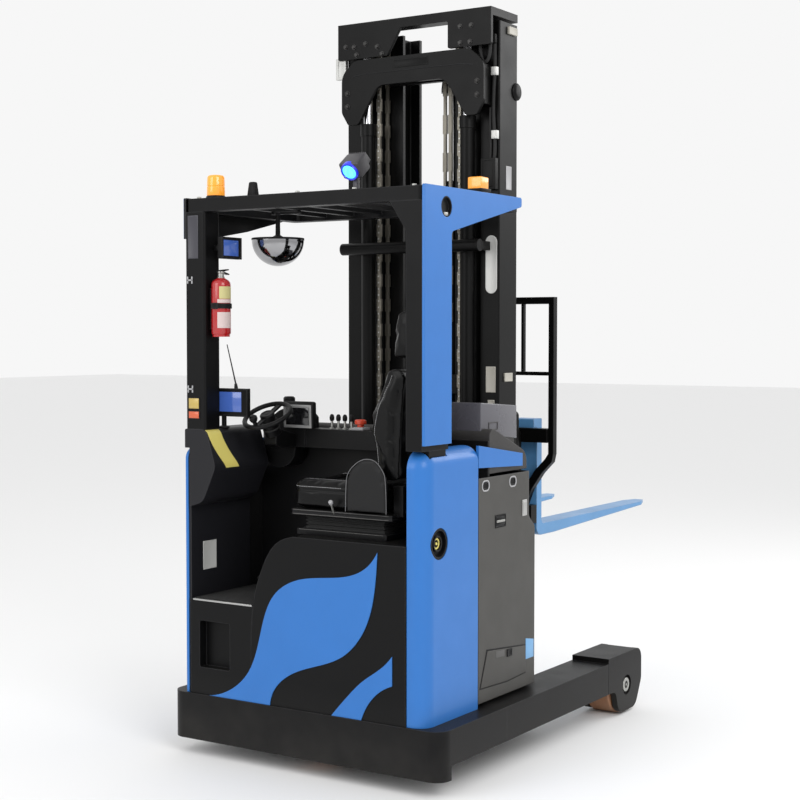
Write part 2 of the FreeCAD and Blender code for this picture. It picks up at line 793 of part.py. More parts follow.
def spot_lamp():
    """Blue floor spot on a bracket at the mast side of the roof, aimed at the floor
    behind the truck."""
    z = guard_top
    housing = plate("XZ", [(678, z + 111, 10), (746, z + 162, 10), (700, z + 222, 10),
                           (632, z + 171, 10)], 165, 265)
    rim = bar((666, 215, z + 150), (646, 215, z + 135), 36)
    bracket = block(690, 716, 204, 226, z - 4, z + 140)
    return joined(housing, rim, bracket)


def rear_lamp():
    """Amber flasher on the right of the roof."""
    foot = rounded("XY", 640, 716, -425, -349, 10, guard_top - 4, guard_top + 40)
    lens = rounded("XY", 648, 708, -417, -357, 16, guard_top + 39, guard_top + 88)
    return joined(foot, lens)


def mirror():
    """Half-dome mirror hung from the roof bars."""
    centre = Vector(300, 320, 2046)
    dome = turned(centre, [(0, -104), (34, -98), (66, -80), (90, -52), (103, -14), (106, 0),
                           (106, 8), (0, 8)])
    stem = rod("XY", 300, 320, 8, 2053, guard_top - guard_depth + 1)
    arm = block(292, 308, 205, 352, guard_top - guard_depth,
                guard_top - guard_depth + 12 - face_clearance)
    return joined(dome, stem, arm)


def monitors():
    """Camera screens on the left pillar and console, and the truck's own display."""
    upper = joined(rounded("XZ", 40, 160, 1965, 2050, 6, 392, 416),
                   block(60, 76, 415, body_half_width - left_pillar_width, 2000, 2016))
    lower = joined(rounded("YZ", 322, 476, 1345, 1456, 8, 101, 122),
                   rod("XY", 140, 470, 9, 1297, 1400), block(121, 148, 440, 479, 1380, 1400))
    display = joined(rounded("YZ", 198, 332, 1290, 1392, 8, wall_x - 128, wall_x - 104),
                     block(wall_x - 105, wall_x - 96, 280, 306, 1290, 1330))
    return upper, lower, display


def extinguisher():
    x, y = 52, body_half_width - left_pillar_width - 44
    body = rod("XY", x, y, 38, 1660, 1880)
    body = bevelled(body, 16, lambda e: abs(e.Length - 2 * math.pi * 38) < 1)
    neck = rod("XY", x, y, 13, 1879, 1905)
    head = block(x - 14, x + 34, y - 10, y + 10, 1904, 1926)
    strap = rod("XY", x, y, 42, 1770, 1790)
    plate_back = block(x - 20, x + 20, y + 34, body_half_width - left_pillar_width, 1690, 1850)
    return joined(body, neck, head, strap, plate_back)


def make_guard():
    save("guard_pillar_right", guard_pillar_right())
    save("guard_pillar_left", guard_pillar_left())
    save("guard_skins", guard_skin(), guard_skin_left())
    save("guard_roof", guard_roof())
    save("lamps", beacon(), spot_lamp(), rear_lamp())
    save("mirror", mirror())
    save("monitors", *monitors())
    save("extinguisher", extinguisher())


# ---- mast ----
middle_web_y = mast_half_width - 97.0
inner_web_y = middle_web_y - 84.0
outer_flange_tip = middle_web_y + stage_gap
middle_outer_tip = mast_half_width - web - stage_gap
inner_web = 16.0
inner_outer_tip = middle_web_y - inner_web - stage_gap
chain_y = inner_web_y + 6.0
chain_half_width = 11.0
middle_inner_tip = chain_y + chain_half_width + 4.0
inner_inner_tip = inner_web_y - 64.0
middle_rear = mast_rear + stage_step
inner_rear = middle_rear + stage_step
stage_bottom = 156.0
tie_bottom = 226.0
mast_roller_play = 0.3
lift_cylinder_x = 836.0
lift_cylinder_y = mast_half_width - 130.0
lift_cylinder_radius = 30.0
lift_rod_radius = 20.0
lift_cylinder_foot = 300.0
lift_cylinder_top = mast_top - 425
lift_rod_top = mast_top - 125
free_lift_x = 1030.0
free_lift_y = -60.0
free_lift_radius = 30.0
free_lift_rod_radius = 20.0
free_lift_foot = 300.0
free_lift_top = mast_top - 665
free_lift_head_bottom = mast_top - 295


def outer_upright():
    x0, x1 = mast_rear, mast_rear + section_depth
    tip = outer_flange_tip
    inside = mast_half_width - web
    points = [(x0, mast_half_width, 6), (x1, mast_half_width, 6), (x1, tip), (x1 - flange, tip),
              (x1 - flange, inside, 8), (x0 + flange, inside, 8), (x0 + flange, tip), (x0, tip)]
    upright = plate("XY", points, mast_bottom, outer_mast_top)
    axle = mast_roller("outer")
    notch = block(x1 - flange - 1, x1 + 1, tip - 1, inside, outer_mast_top - 130, outer_mast_top + 1)
    return upright.cut(notch).fuse(axle).removeSplitter()


def stage_upright(rear, web_y, outer_tip, inner_tip, top):
    front = rear + section_depth
    wall = web_y - inner_web
    thick = flange - 2
    points = [(rear, outer_tip), (rear + thick, outer_tip), (rear + thick, web_y, 8),
              (front - thick, web_y, 8), (front - thick, outer_tip), (front, outer_tip),
              (front, inner_tip), (front - thick, inner_tip), (front - thick, wall, 8),
              (rear + thick, wall, 8), (rear + thick, inner_tip), (rear, inner_tip)]
    return plate("XY", points, stage_bottom, top)


def guide_roller(x, z, radius, start, end, web_face):
    """Roller disc from start to end across the truck, on a stub from its web."""
    disc = rod("XZ", x, z, radius, min(start, end), max(start, end))
    stub = rod("XZ", x, z, 18, min(start, web_face), max(end, web_face))
    return joined(disc, stub)


def mast_roller(stage):
    """Guide rollers: at the top of the outer and middle stages, and at the bottom of
    the middle and inner stages."""
    thick = flange - 2
    high = outer_mast_top - 60
    low = stage_bottom + 62
    wide = section_depth / 2 - flange - mast_roller_play
    narrow = section_depth / 2 - thick - mast_roller_play
    gap = 9
    middle_x = middle_rear + section_depth / 2
    inner_x = inner_rear + section_depth / 2
    if stage == "outer":
        return guide_roller(middle_x, high, narrow, middle_web_y + gap, middle_web_y + 60,
                            mast_half_width - web + 1)
    if stage == "middle_low":
        face = mast_half_width - web
        return guide_roller(mast_rear + section_depth / 2, low, wide, face - 55, face - gap,
                            middle_web_y - 1)
    if stage == "middle_high":
        return guide_roller(inner_x, high, narrow, inner_web_y + gap, inner_web_y + 45,
                            middle_web_y - inner_web + 1)
    face = middle_web_y - inner_web
    return guide_roller(middle_x, low, narrow, face - 45, face - gap, inner_web_y - 1)


def middle_upright():
    upright = stage_upright(middle_rear, middle_web_y, middle_outer_tip, middle_inner_tip,
                            outer_mast_top)
    room_low = block(middle_rear - 1, middle_rear + flange + 1, middle_web_y + 1, middle_outer_tip + 1,
                     stage_bottom - 1, stage_bottom + 124)
    front = middle_rear + section_depth
    room_high = block(front - flange, front + 1, middle_inner_tip - 1, middle_web_y - inner_web - 1,
                      outer_mast_top - 122, outer_mast_top + 1)
    upright = upright.cut(room_low).cut(room_high)
    return joined(upright, mast_roller("middle_low"), mast_roller("middle_high"))


def inner_upright():
    upright = stage_upright(inner_rear, inner_web_y, inner_outer_tip, inner_inner_tip,
                            outer_mast_top)
    room_low = block(inner_rear - 1, inner_rear + flange + 1, inner_web_y + 1, inner_outer_tip + 1,
                     stage_bottom - 1, stage_bottom + 124)
    return joined(upright.cut(room_low), mast_roller("inner"))


def outer_ties():
    """Arched tie behind the outer mast, the round cross tube and the foot beam under
    the lift cylinders."""
    x0 = 786
    face = 16
    top = arch_top
    half = mast_half_width - 27
    side_y = mast_half_width - 57
    arch = plate("YZ", [(-half, top - 216, 30), (-half, top - 56, 70), (68 - half, top, 40),
                        (half - 68, top, 40), (half, top - 56, 70), (half, top - 216, 30),
                        (315, top - 270, 15), (265, top - 270, 20), (165, top - 112, 60),
                        (-165, top - 112, 60), (-265, top - 270, 20), (-315, top - 270, 15)],
                 x0, x0 + face)
    feet = [block(x0 + face - 1, mast_rear, side * side_y - 24, side * side_y + 24,
                  top - 226, top - 66) for side in (-1, 1)]
    beam = block(x0 + 14, mast_rear, -side_y - 22, side_y + 22, tie_bottom, lift_cylinder_foot)
    tube_x = lift_cylinder_x - lift_cylinder_radius - cross_tube_radius - 3
    cross = rod("XZ", tube_x, cross_tube_z, cross_tube_radius, -side_y - 20, side_y + 20)
    ends = [block(tube_x, mast_rear, side * side_y - 16, side * side_y + 16,
                  cross_tube_z - 18, cross_tube_z + 18) for side in (-1, 1)]
    return joined(arch, *feet), beam, joined(cross, *ends)


def lift_cylinder(side):
    tube_shape = ring("XY", lift_cylinder_x, side * lift_cylinder_y, lift_cylinder_radius,
                      lift_rod_radius + running_clearance, lift_cylinder_foot, lift_cylinder_top)
    gland = ring("XY", lift_cylinder_x, side * lift_cylinder_y, lift_cylinder_radius + 4,
                 lift_rod_radius + running_clearance, lift_cylinder_top - 50, lift_cylinder_top)
    return joined(tube_shape, gland)


def lift_rod(side):
    return rod("XY", lift_cylinder_x, side * lift_cylinder_y, lift_rod_radius,
               lift_cylinder_foot + 120, lift_rod_top)


def middle_ties():
    """Top crossbar with its deep end brackets, and the low tie."""
    x0 = lift_cylinder_x - 38
    x1 = middle_rear - 6
    half = mast_half_width
    low_edge = arch_top + 9
    bar_bottom = mast_top - crossbar_depth
    top = plate("YZ", [(-half, mast_top, 4), (half, mast_top, 4), (half, low_edge, 8),
                       (126, low_edge, 8), (60, bar_bottom, 8), (-172, bar_bottom, 8),
                       (-172, low_edge, 8), (-half, low_edge, 8)],
                x0, x0 + 16)
    under = outer_mast_top + 12
    shelf = block(x0, x1, -half, half, under, mast_top)
    seats = [rod("XY", lift_cylinder_x, side * lift_cylinder_y, 30, lift_rod_top, under + 1)
             for side in (-1, 1)]
    end_y = inner_web_y + 70
    ends = [block(x1 - 1, mast_rear + section_depth, min(side * end_y, side * half),
                  max(side * end_y, side * half), under, mast_top)
            for side in (-1, 1)]
    feet = [block(middle_rear + 20, mast_rear + section_depth - 5,
                  min(side * end_y, side * middle_web_y), max(side * end_y, side * middle_web_y),
                  outer_mast_top, under + 1)
            for side in (-1, 1)]
    low = block(middle_rear - 16, middle_rear, -250, 250, tie_bottom, tie_bottom + 90)
    return joined(top, shelf, *seats, *ends, *feet, *main_sheaves()), low


def inner_ties():
    half = chain_y - chain_half_width - 5
    x0, x1 = inner_rear - 24, inner_rear
    high = arch_top - 16
    made = [block(x0, x1, -half, half, high - 85, high), block(x0, x1, -half, half, 1420, 1500)]
    foot = block(x0, free_lift_x + free_lift_radius, free_lift_y - free_lift_radius - 4,
                 free_lift_y + free_lift_radius + 4, tie_bottom + 36, free_lift_foot)
    made.append(joined(block(x0, x1, -half, half, tie_bottom, free_lift_foot), foot))
    return made


def chain_loop(x, y, radius, top, rear_end, front_end, half_width, thickness, pitch):
    """Leaf chain over a sheave whose axis lies along y: wide and narrow links in turn."""
    half = thickness / 2
    turn = ring("XZ", x, top, radius + half, radius - half, y - half_width, y + half_width)
    turn = turn.cut(block(x - radius - 30, x + radius + 30, y - half_width - 1,
                          y + half_width + 1, top - radius - 30, top))
    narrow = half_width * 0.62
    runs = [turn]
    for centre, end in ((x - radius, rear_end), (x + radius, front_end)):
        points = []
        z = top
        wide = True
        left, right = [], []
        while z - pitch / 2 > end:
            width = half_width if wide else narrow
            left.append((y - width, z))
            left.append((y - width, z - pitch / 2))
            right.append((y + width, z))
            right.append((y + width, z - pitch / 2))
            z -= pitch / 2
            wide = not wide
        points = left + right[::-1]
        runs.append(plate("YZ", points, centre - half, centre + half))
    return joined(*runs)


main_chain_x = 885.0
main_chain_radius = 32.0
main_chain_top = mast_top - 105
chain_thickness = 12.0


def main_chains():
    chain = chain_loop(main_chain_x, chain_y, main_chain_radius, main_chain_top, 340, 310,
                       chain_half_width, chain_thickness, 106)
    return chain, mirrored(chain)


def main_sheaves():
    made = []
    for side in (-1, 1):
        wheel_radius = main_chain_radius - chain_thickness / 2 - face_clearance
        wheel = rod("XZ", main_chain_x, main_chain_top, wheel_radius,
                    side * chain_y - chain_half_width, side * chain_y + chain_half_width)
        pin = rod("XZ", main_chain_x, main_chain_top, 12, side * chain_y - chain_half_width - 14,
                  side * chain_y + chain_half_width + 14)
        cheeks = [block(main_chain_x - 16, middle_rear - 7, side * chain_y + offset - 3,
                        side * chain_y + offset + 3, main_chain_top - 16, outer_mast_top + 13)
                  for offset in (-chain_half_width - 7, chain_half_width + 7)]
        made.append(joined(wheel, pin, *cheeks))
    return made


def free_lift_cylinder():
    return ring("XY", free_lift_x, free_lift_y, free_lift_radius,
                free_lift_rod_radius + running_clearance, free_lift_foot, free_lift_top)


free_chain_half_width = 9.0
free_chain_offset = 13.0
free_chain_y = (free_lift_y - free_chain_offset, free_lift_y + free_chain_offset)
free_chain_radius = 44.0
free_chain_top = free_lift_head_bottom + 65


def free_lift_head():
    """Rod, crosshead and the two sheaves of the free lift, between the runs of the
    chains."""
    piston = rod("XY", free_lift_x, free_lift_y, free_lift_rod_radius, 1400,
                 free_lift_head_bottom + 1)
    reach = free_chain_radius - chain_thickness / 2 - 6
    outer = free_chain_offset + free_chain_half_width + 18
    inner = outer - 8
    crosshead = block(free_lift_x - reach, free_lift_x + reach, free_lift_y - outer,
                      free_lift_y + outer, free_lift_head_bottom, free_lift_head_bottom + 20)
    cheeks = [plate("XZ", [(free_lift_x - reach, free_lift_head_bottom + 19),
                           (free_lift_x + reach, free_lift_head_bottom + 19),
                           (free_lift_x + 18, free_chain_top + 20, 12),
                           (free_lift_x - 18, free_chain_top + 20, 12)],
                    *sorted((free_lift_y + side * inner, free_lift_y + side * outer)))
              for side in (-1, 1)]
    pin = rod("XZ", free_lift_x, free_chain_top, 12, free_lift_y - outer - 3,
              free_lift_y + outer + 3)
    sheaves = [rod("XZ", free_lift_x, free_chain_top,
                   free_chain_radius - chain_thickness / 2 - face_clearance,
                   y - free_chain_half_width, y + free_chain_half_width)
               for y in free_chain_y]
    return joined(piston, crosshead, *cheeks, pin, *sheaves)


def free_lift_chains():
    return [chain_loop(free_lift_x, y, free_chain_radius, free_chain_top, 1700, 1345,
                       free_chain_half_width, chain_thickness, 159) for y in free_chain_y]


# ---- reach carriage ----
reach_cylinder_z = 182.0
reach_cylinder_radius = 28.0
reach_rod_radius = 16.0
reach_barrel_rear = 492.0
reach_barrel_front = 1028.0
reach_eye_x = 1042.0
reach_rollers = (562.0, 822.0)


def reach_carriage():
    """Low frame between the legs: side cheeks with four rollers, floor plate, and the
    posts that carry the outer mast."""
    low, high = frame_clearance + 2, frame_clearance + 30
    inside = leg_inner - 8
    floor = block(520, reach_eye_x + 42, -inside, inside, low, high)
    floor = floor.cut(rounded("XY", 590, 780, -270, 270, 30, low - 1, high + 1))
    floor = floor.cut(rounded("XY", 900, 1040, -250, 250, 30, low - 1, high + 1))
    sides = []
    for side in (-1, 1):
        sides.append(block(520, mast_rear + 1, min(side * (inside - 26), side * inside),
                           max(side * (inside - 26), side * inside), high - 1, 236))
        outline = [(mast_rear, high - 1), (mast_rear + section_depth, high - 1),
                   (mast_rear + section_depth, 470, 30), (mast_rear, 470, 30)]
        sides.append(plate("XZ", outline, *sorted((side * mast_half_width, side * inside))))
        for x in reach_rollers:
            stub = rod("XZ", x, channel_middle(), 16,
                       *sorted((side * (inside - 1), side * (leg_inner + 12))))
            roller = rod("XZ", x, channel_middle(), roller_radius,
                         *sorted((side * (leg_inner + 6), side * (leg_inner + leg_channel_depth - 7))))
            sides += [stub, roller]
    eye = block(reach_eye_x, reach_eye_x + 36, -30, 30, high - 1, reach_cylinder_z + 32)
    return joined(floor, *sides, eye)


def reach_cylinder():
    """Barrel fixed to the front of the base, under the battery."""
    lug = block(base_length, reach_barrel_rear + 1, -26, 26, reach_cylinder_z - 32,
                reach_cylinder_z + 32)
    barrel = ring("YZ", 0, reach_cylinder_z, reach_cylinder_radius,
                  reach_rod_radius + running_clearance, reach_barrel_rear, reach_barrel_front)
    return joined(barrel, lug)


def reach_rod():
    return rod("YZ", 0, reach_cylinder_z, reach_rod_radius, reach_barrel_rear + 30,
               reach_eye_x - face_clearance)


# ---- fork carriage ----
carriage_bottom = 885.0
carriage_height = 455.0
carriage_plate_y = 114.0
tilt_x = 1236.0
tilt_z = 830.0
tilt_pin_radius = 14.0
lug_y = 210.0


def lift_carriage():
    """Roller plates that run in the inner mast, and the frame across their front."""
    low, high = carriage_bottom, carriage_bottom + carriage_height
    pieces = []
    for side in (-1, 1):
        y0, y1 = sorted((side * (carriage_plate_y - 12), side * (carriage_plate_y + 12)))
        pieces.append(plate("XZ", [(960, low, 20), (1100, low), (1180, low - 60), (1180, high, 20),
                                   (960, high, 20)], y0, y1))
        for z in (low + 60, high - 60):
            radius = (section_depth - 2 * (flange - 2)) / 2 - mast_roller_play
            pieces.append(rod("XZ", inner_rear + section_depth / 2, z, radius,
                              *sorted((side * (carriage_plate_y + 11),
                                       side * (inner_web_y - inner_web - 9)))))
    front = rounded("YZ", -carriage_half, carriage_half, low - 60, high, 20, 1150, 1180)
    front = front.cut(rounded("YZ", -90, 90, low + 60, high - 70, 30, 1149, 1181))
    for side in (-1, 1):
        y0, y1 = sorted((side * 145, side * (carriage_half - 40)))
        front = front.cut(rounded("YZ", y0, y1, low + 60, high - 70, 30, 1149, 1181))
    lugs = [plate("XZ", [(1179, tilt_z - 30, 10), (tilt_x + 26, tilt_z - 30, 30),
                         (tilt_x + 26, tilt_z + 30, 30), (1179, tilt_z + 50, 10)],
                  *sorted((side * (lug_y - 15), side * (lug_y + 15)))) for side in (-1, 1)]
    bore = rod("XZ", tilt_x, tilt_z, tilt_pin_radius + running_clearance, -300, 300)
    return joined(front, *pieces, *lugs).cut(bore)


def tilt_frame():
    """Frame hinged at its foot on the lift carriage; its rails guide the side shift."""
    pin = [rod("XZ", tilt_x, tilt_z, tilt_pin_radius, *sorted((side * (lug_y - 40), side * (lug_y + 40))))
           for side in (-1, 1)]
    ears = []
    for side in (-1, 1):
        for y0, y1 in ((lug_y - 40, lug_y - 22), (lug_y + 22, lug_y + 40)):
            ears.append(plate("XZ", [(tilt_x - 24, tilt_z - 24, 22), (tilt_x + 44, tilt_z - 24),
                                     (tilt_x + 44, tilt_z + 60), (tilt_x - 24, tilt_z + 24, 22)],
                              *sorted((side * y0, side * y1))))
    front = rounded("YZ", -lug_y - 40, lug_y + 40, tilt_z + 20, fork_bar_top - 4, 20,
                    tilt_x + 30, tilt_x + 52)
    front = front.cut(rounded("YZ", -130, 130, tilt_z + 90, fork_bar_top - 70, 30,
                              tilt_x + 29, tilt_x + 53))
    return joined(front, *ears, *pin)


def fork_frame():
    """Side-shift frame: two fork bars on slide pads."""
    x0, x1 = tilt_x + 58, fork_face - fork_thickness
    upper = block(x0, x1, -fork_bar_half, fork_bar_half, fork_bar_top - fork_bar_height, fork_bar_top)
    lower = block(x0, x1, -carriage_half, carriage_half, fork_bar_low, fork_bar_low + 80)
    link = [block(x0, x0 + 11, *sorted((side * (lug_y - 40), side * (lug_y + 34))),
                  fork_bar_low + 79, fork_bar_top - fork_bar_height + 1) for side in (-1, 1)]
    pads = []
    for side in (-1, 1):
        for z0, z1 in ((fork_bar_low + 10, fork_bar_low + 73),
                       (fork_bar_top - 57, fork_bar_top - 7)):
            pads.append(block(tilt_x + 52 + face_clearance, x0 + 1,
                              *sorted((side * (lug_y - 60), side * (lug_y + 30))), z0, z1))
    return joined(upper, lower, *link, *pads)


def fork(side):
    """Fork: tapering blade, heel radius, shank and top hook."""
    heel = fork_face - fork_thickness
    low = fork_top - 50
    hook = fork_bar_top + face_clearance
    outline = [(heel, low, 40), (fork_face + 120, low), (overall_length, fork_top - 14, 3),
               (overall_length, fork_top, 3), (fork_face, fork_top, 22),
               (fork_face, hook + 40, 6), (heel - 30, hook + 40, 6),
               (heel - 30, hook), (heel, hook)]
    y = side * fork_spread
    blade = plate("XZ", outline, y - fork_width / 2, y + fork_width / 2)
    tip = []
    for edge_side in (-1, 1):
        corner = y + edge_side * fork_width / 2
        tip.append(plate("XY", [(overall_length + 1, corner - edge_side * 30),
                                (overall_length + 1, corner + edge_side * 2),
                                (overall_length - 90, corner + edge_side * 2)],
                         low - 1, fork_top + 1))
    return blade.cut(tip[0]).cut(tip[1])


def backrest():
    """Load backrest: outer posts that sweep in to the lower fork bar, top and low
    rails and four slim inner bars."""
    x0, x1 = 1306, 1338
    inner = fork_bar_half + face_clearance
    outer = inner + 25
    foot = fork_bar_low + 80 + face_clearance
    low_rail = fork_bar_top + 230
    pieces = []
    for side in (-1, 1):
        pieces.append(block(x0, x1, *sorted((side * inner, side * outer)),
                            fork_bar_top - 110, backrest_top))
        sweep = [(side * outer, fork_bar_top - 109), (side * (outer - 8), fork_bar_top - 145),
                 (side * (outer - 56), fork_bar_top - 195), (side * (outer - 106), fork_bar_top - 268),
                 (side * (outer - 134), foot)]
        back = [(side * (outer - 170), foot), (side * (outer - 142), fork_bar_top - 262),
                (side * (outer - 92), fork_bar_top - 186), (side * (outer - 40), fork_bar_top - 132),
                (side * (outer - 25), fork_bar_top - 109)]
        pieces.append(plate("YZ", sweep + back, x0, x1))
        pieces.append(block(x0 + 6, x1 - 6, *sorted((side * 100, side * 112)),
                            fork_bar_top + face_clearance, backrest_top - 20))
        pieces.append(block(x0 + 6, x1 - 6, *sorted((side * 238, side * 250)),
                            low_rail + 5, backrest_top - 20))
    pieces.append(block(x0, x1, -outer, outer, backrest_top - 30, backrest_top))
    pieces.append(block(x0 + 4, x1 - 4, -outer, outer, low_rail, low_rail + 16))
    return joined(*pieces)


def make_mast():
    save("mast_outer", outer_upright(), mirrored(outer_upright()))
    save("mast_outer_ties", *outer_ties())
    save("lift_cylinders", lift_cylinder(1), lift_cylinder(-1))
    save("reach_frame", reach_carriage())
    save("reach_cylinder", reach_cylinder())
    save("reach_rod", reach_rod())
    save("mast_middle", middle_upright(), mirrored(middle_upright()))
    save("mast_middle_ties", *middle_ties())
    save("lift_rods", lift_rod(1), lift_rod(-1))
    save("main_chains", *main_chains())
    save("mast_inner", inner_upright(), mirrored(inner_upright()))
    save("mast_inner_ties", *inner_ties())
    save("free_lift_cylinder", free_lift_cylinder())
    save("free_lift_head", free_lift_head())
    save("free_lift_chains", *free_lift_chains())
    save("lift_carriage", lift_carriage())
    save("tilt_frame", tilt_frame())
    save("fork_frame", fork_frame())
    save("forks", fork(1), fork(-1))
    save("load_backrest", backrest())


os.makedirs("parts", exist_ok=True)
make_chassis()
make_body()
make_operator_space()
make_guard()
make_mast()
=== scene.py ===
import math

import bmesh
import bpy
from mathutils import Matrix, Vector
from mathutils.bvhtree import BVHTree


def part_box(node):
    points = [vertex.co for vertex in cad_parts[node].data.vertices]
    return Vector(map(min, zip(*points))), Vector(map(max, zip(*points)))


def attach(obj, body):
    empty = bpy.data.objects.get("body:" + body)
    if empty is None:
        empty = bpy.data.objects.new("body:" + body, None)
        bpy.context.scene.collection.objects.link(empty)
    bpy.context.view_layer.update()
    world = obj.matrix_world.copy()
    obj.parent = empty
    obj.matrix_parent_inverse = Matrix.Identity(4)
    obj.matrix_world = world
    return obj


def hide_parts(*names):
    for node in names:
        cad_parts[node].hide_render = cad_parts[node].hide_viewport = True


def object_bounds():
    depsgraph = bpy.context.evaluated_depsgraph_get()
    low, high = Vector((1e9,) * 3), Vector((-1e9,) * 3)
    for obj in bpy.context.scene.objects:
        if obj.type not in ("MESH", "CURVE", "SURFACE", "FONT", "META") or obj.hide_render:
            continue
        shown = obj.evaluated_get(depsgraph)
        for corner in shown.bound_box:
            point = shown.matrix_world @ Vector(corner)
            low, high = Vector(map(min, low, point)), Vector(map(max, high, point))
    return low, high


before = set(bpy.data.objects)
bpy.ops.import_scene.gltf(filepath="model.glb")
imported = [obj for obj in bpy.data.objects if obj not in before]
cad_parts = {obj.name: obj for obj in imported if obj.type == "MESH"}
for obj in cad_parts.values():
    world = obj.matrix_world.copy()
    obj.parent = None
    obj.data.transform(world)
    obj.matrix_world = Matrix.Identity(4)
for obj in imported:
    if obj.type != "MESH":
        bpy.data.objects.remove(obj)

cad_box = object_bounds()
rear_face = cad_box[0].x


# ---- floor, lights and camera ----
# A pale studio floor, two large soft lights and a weak one from the mast side, and a
# camera a little above seat height behind the right rear corner of the truck.
bpy.context.scene.view_settings.view_transform = "Standard"

bpy.ops.object.select_all(action="DESELECT")
bpy.ops.mesh.primitive_plane_add(size=80)
studio_floor = bpy.context.object
studio_floor.name = "studio_floor"
floor_paint = bpy.data.materials.new("studio_floor")
floor_paint.use_nodes = True
floor_shader = floor_paint.node_tree.nodes["Principled BSDF"]
floor_shader.inputs["Base Color"].default_value = (0.86, 0.86, 0.86, 1)
floor_shader.inputs["Roughness"].default_value = 0.75
studio_floor.data.materials.append(floor_paint)

sky_strength = 0.93
world = bpy.data.worlds.new("studio")
world.use_nodes = True
world.node_tree.nodes["Background"].inputs["Color"].default_value = (1, 1, 1, 1)
world.node_tree.nodes["Background"].inputs["Strength"].default_value = sky_strength
bpy.context.scene.world = world


def placed(name, data):
    """A new object in the scene, for a mesh, curve, lamp or camera."""
    holder = bpy.data.objects.new(name, data)
    bpy.context.scene.collection.objects.link(holder)
    return holder


def soft_light(name, place, target, size, power):
    lamp = bpy.data.lights.new(name, "AREA")
    lamp.shape, lamp.size, lamp.energy = "SQUARE", size, power
    holder = placed(name, lamp)
    holder.location = place
    holder.rotation_euler = (Vector(target) - holder.location).to_track_quat("-Z", "Y").to_euler()


soft_light("key_light", (-4.5, -6.5, 5.5), (0, 0, 1.2), 4.0, 270)
soft_light("fill_light", (-7.5, 2.5, 4.0), (-0.5, 0, 1.0), 4.0, 150)
soft_light("mast_light", (4.5, -3.0, 4.5), (0, 0, 1.8), 3.0, 100)

sensor_width = 36.0
focal_in_widths = 1546.4 / 800
camera_data = bpy.data.cameras.new("camera")
camera_data.sensor_width = sensor_width
camera_data.lens = focal_in_widths * sensor_width
camera_data.clip_end = 200
camera = placed("camera", camera_data)
camera.location = (-5.9205, -3.4784, 1.6767)
heading, tilt = math.radians(33.0), math.radians(-2.5)
sight = Vector((math.cos(heading) * math.cos(tilt), math.sin(heading) * math.cos(tilt), math.sin(tilt)))
camera.rotation_euler = sight.to_track_quat("-Z", "Y").to_euler()
bpy.context.scene.camera = camera


# ---- chassis: base frame, support legs and reach frame ----
# Welded and cast steel, powder coated in fine black texture.  Edges catch the light
# and are rubbed a little brighter, and dust lies on what is low and flat.
def fed(tree, node, inputs):
    """Gives a node's inputs their values, or links them where the value is a socket."""
    for label, value in inputs.items():
        if isinstance(value, bpy.types.NodeSocket):
            tree.links.new(value, node.inputs[label])
        else:
            node.inputs[label].default_value = value
    return node.outputs


def node_of(tree, kind, inputs, **settings):
    """A shader node with its settings and inputs; what comes back are its outputs."""
    node = tree.nodes.new("ShaderNode" + kind)
    for label, value in settings.items():
        setattr(node, label, value)
    return fed(tree, node, inputs)


def shader_tool(name, inputs, outputs, vector_outputs=()):
    """An empty node group with named numbers going in and named sockets coming out."""
    tree = bpy.data.node_groups.new(name, "ShaderNodeTree")
    for label, value in inputs.items():
        tree.interface.new_socket(label, in_out="INPUT", socket_type="NodeSocketFloat").default_value = value
    for label in outputs:
        kind = "NodeSocketVector" if label in vector_outputs else "NodeSocketFloat"
        tree.interface.new_socket(label, in_out="OUTPUT", socket_type=kind)
    return tree, tree.nodes.new("NodeGroupInput").outputs, tree.nodes.new("NodeGroupOutput")


def grain_tool():
    """Fine raised texture over a softened edge."""
    tree, enter, leave = shader_tool("fine_grain", {"Scale": 400.0, "Depth": 0.2, "Edge": 0.002},
        ["Normal", "Height"], ["Normal"])
    place = node_of(tree, "TexCoord", {})["Object"]
    noise = node_of(tree, "TexNoise", {"Vector": place, "Scale": enter["Scale"], "Detail": 3})["Fac"]
    edge = node_of(tree, "Bevel", {"Radius": enter["Edge"]}, samples=4)["Normal"]
    bump = node_of(tree, "Bump", {"Distance": 0.0008, "Strength": enter["Depth"], "Height": noise,
        "Normal": edge})["Normal"]
    fed(tree, leave, {"Normal": bump, "Height": noise})
    return tree


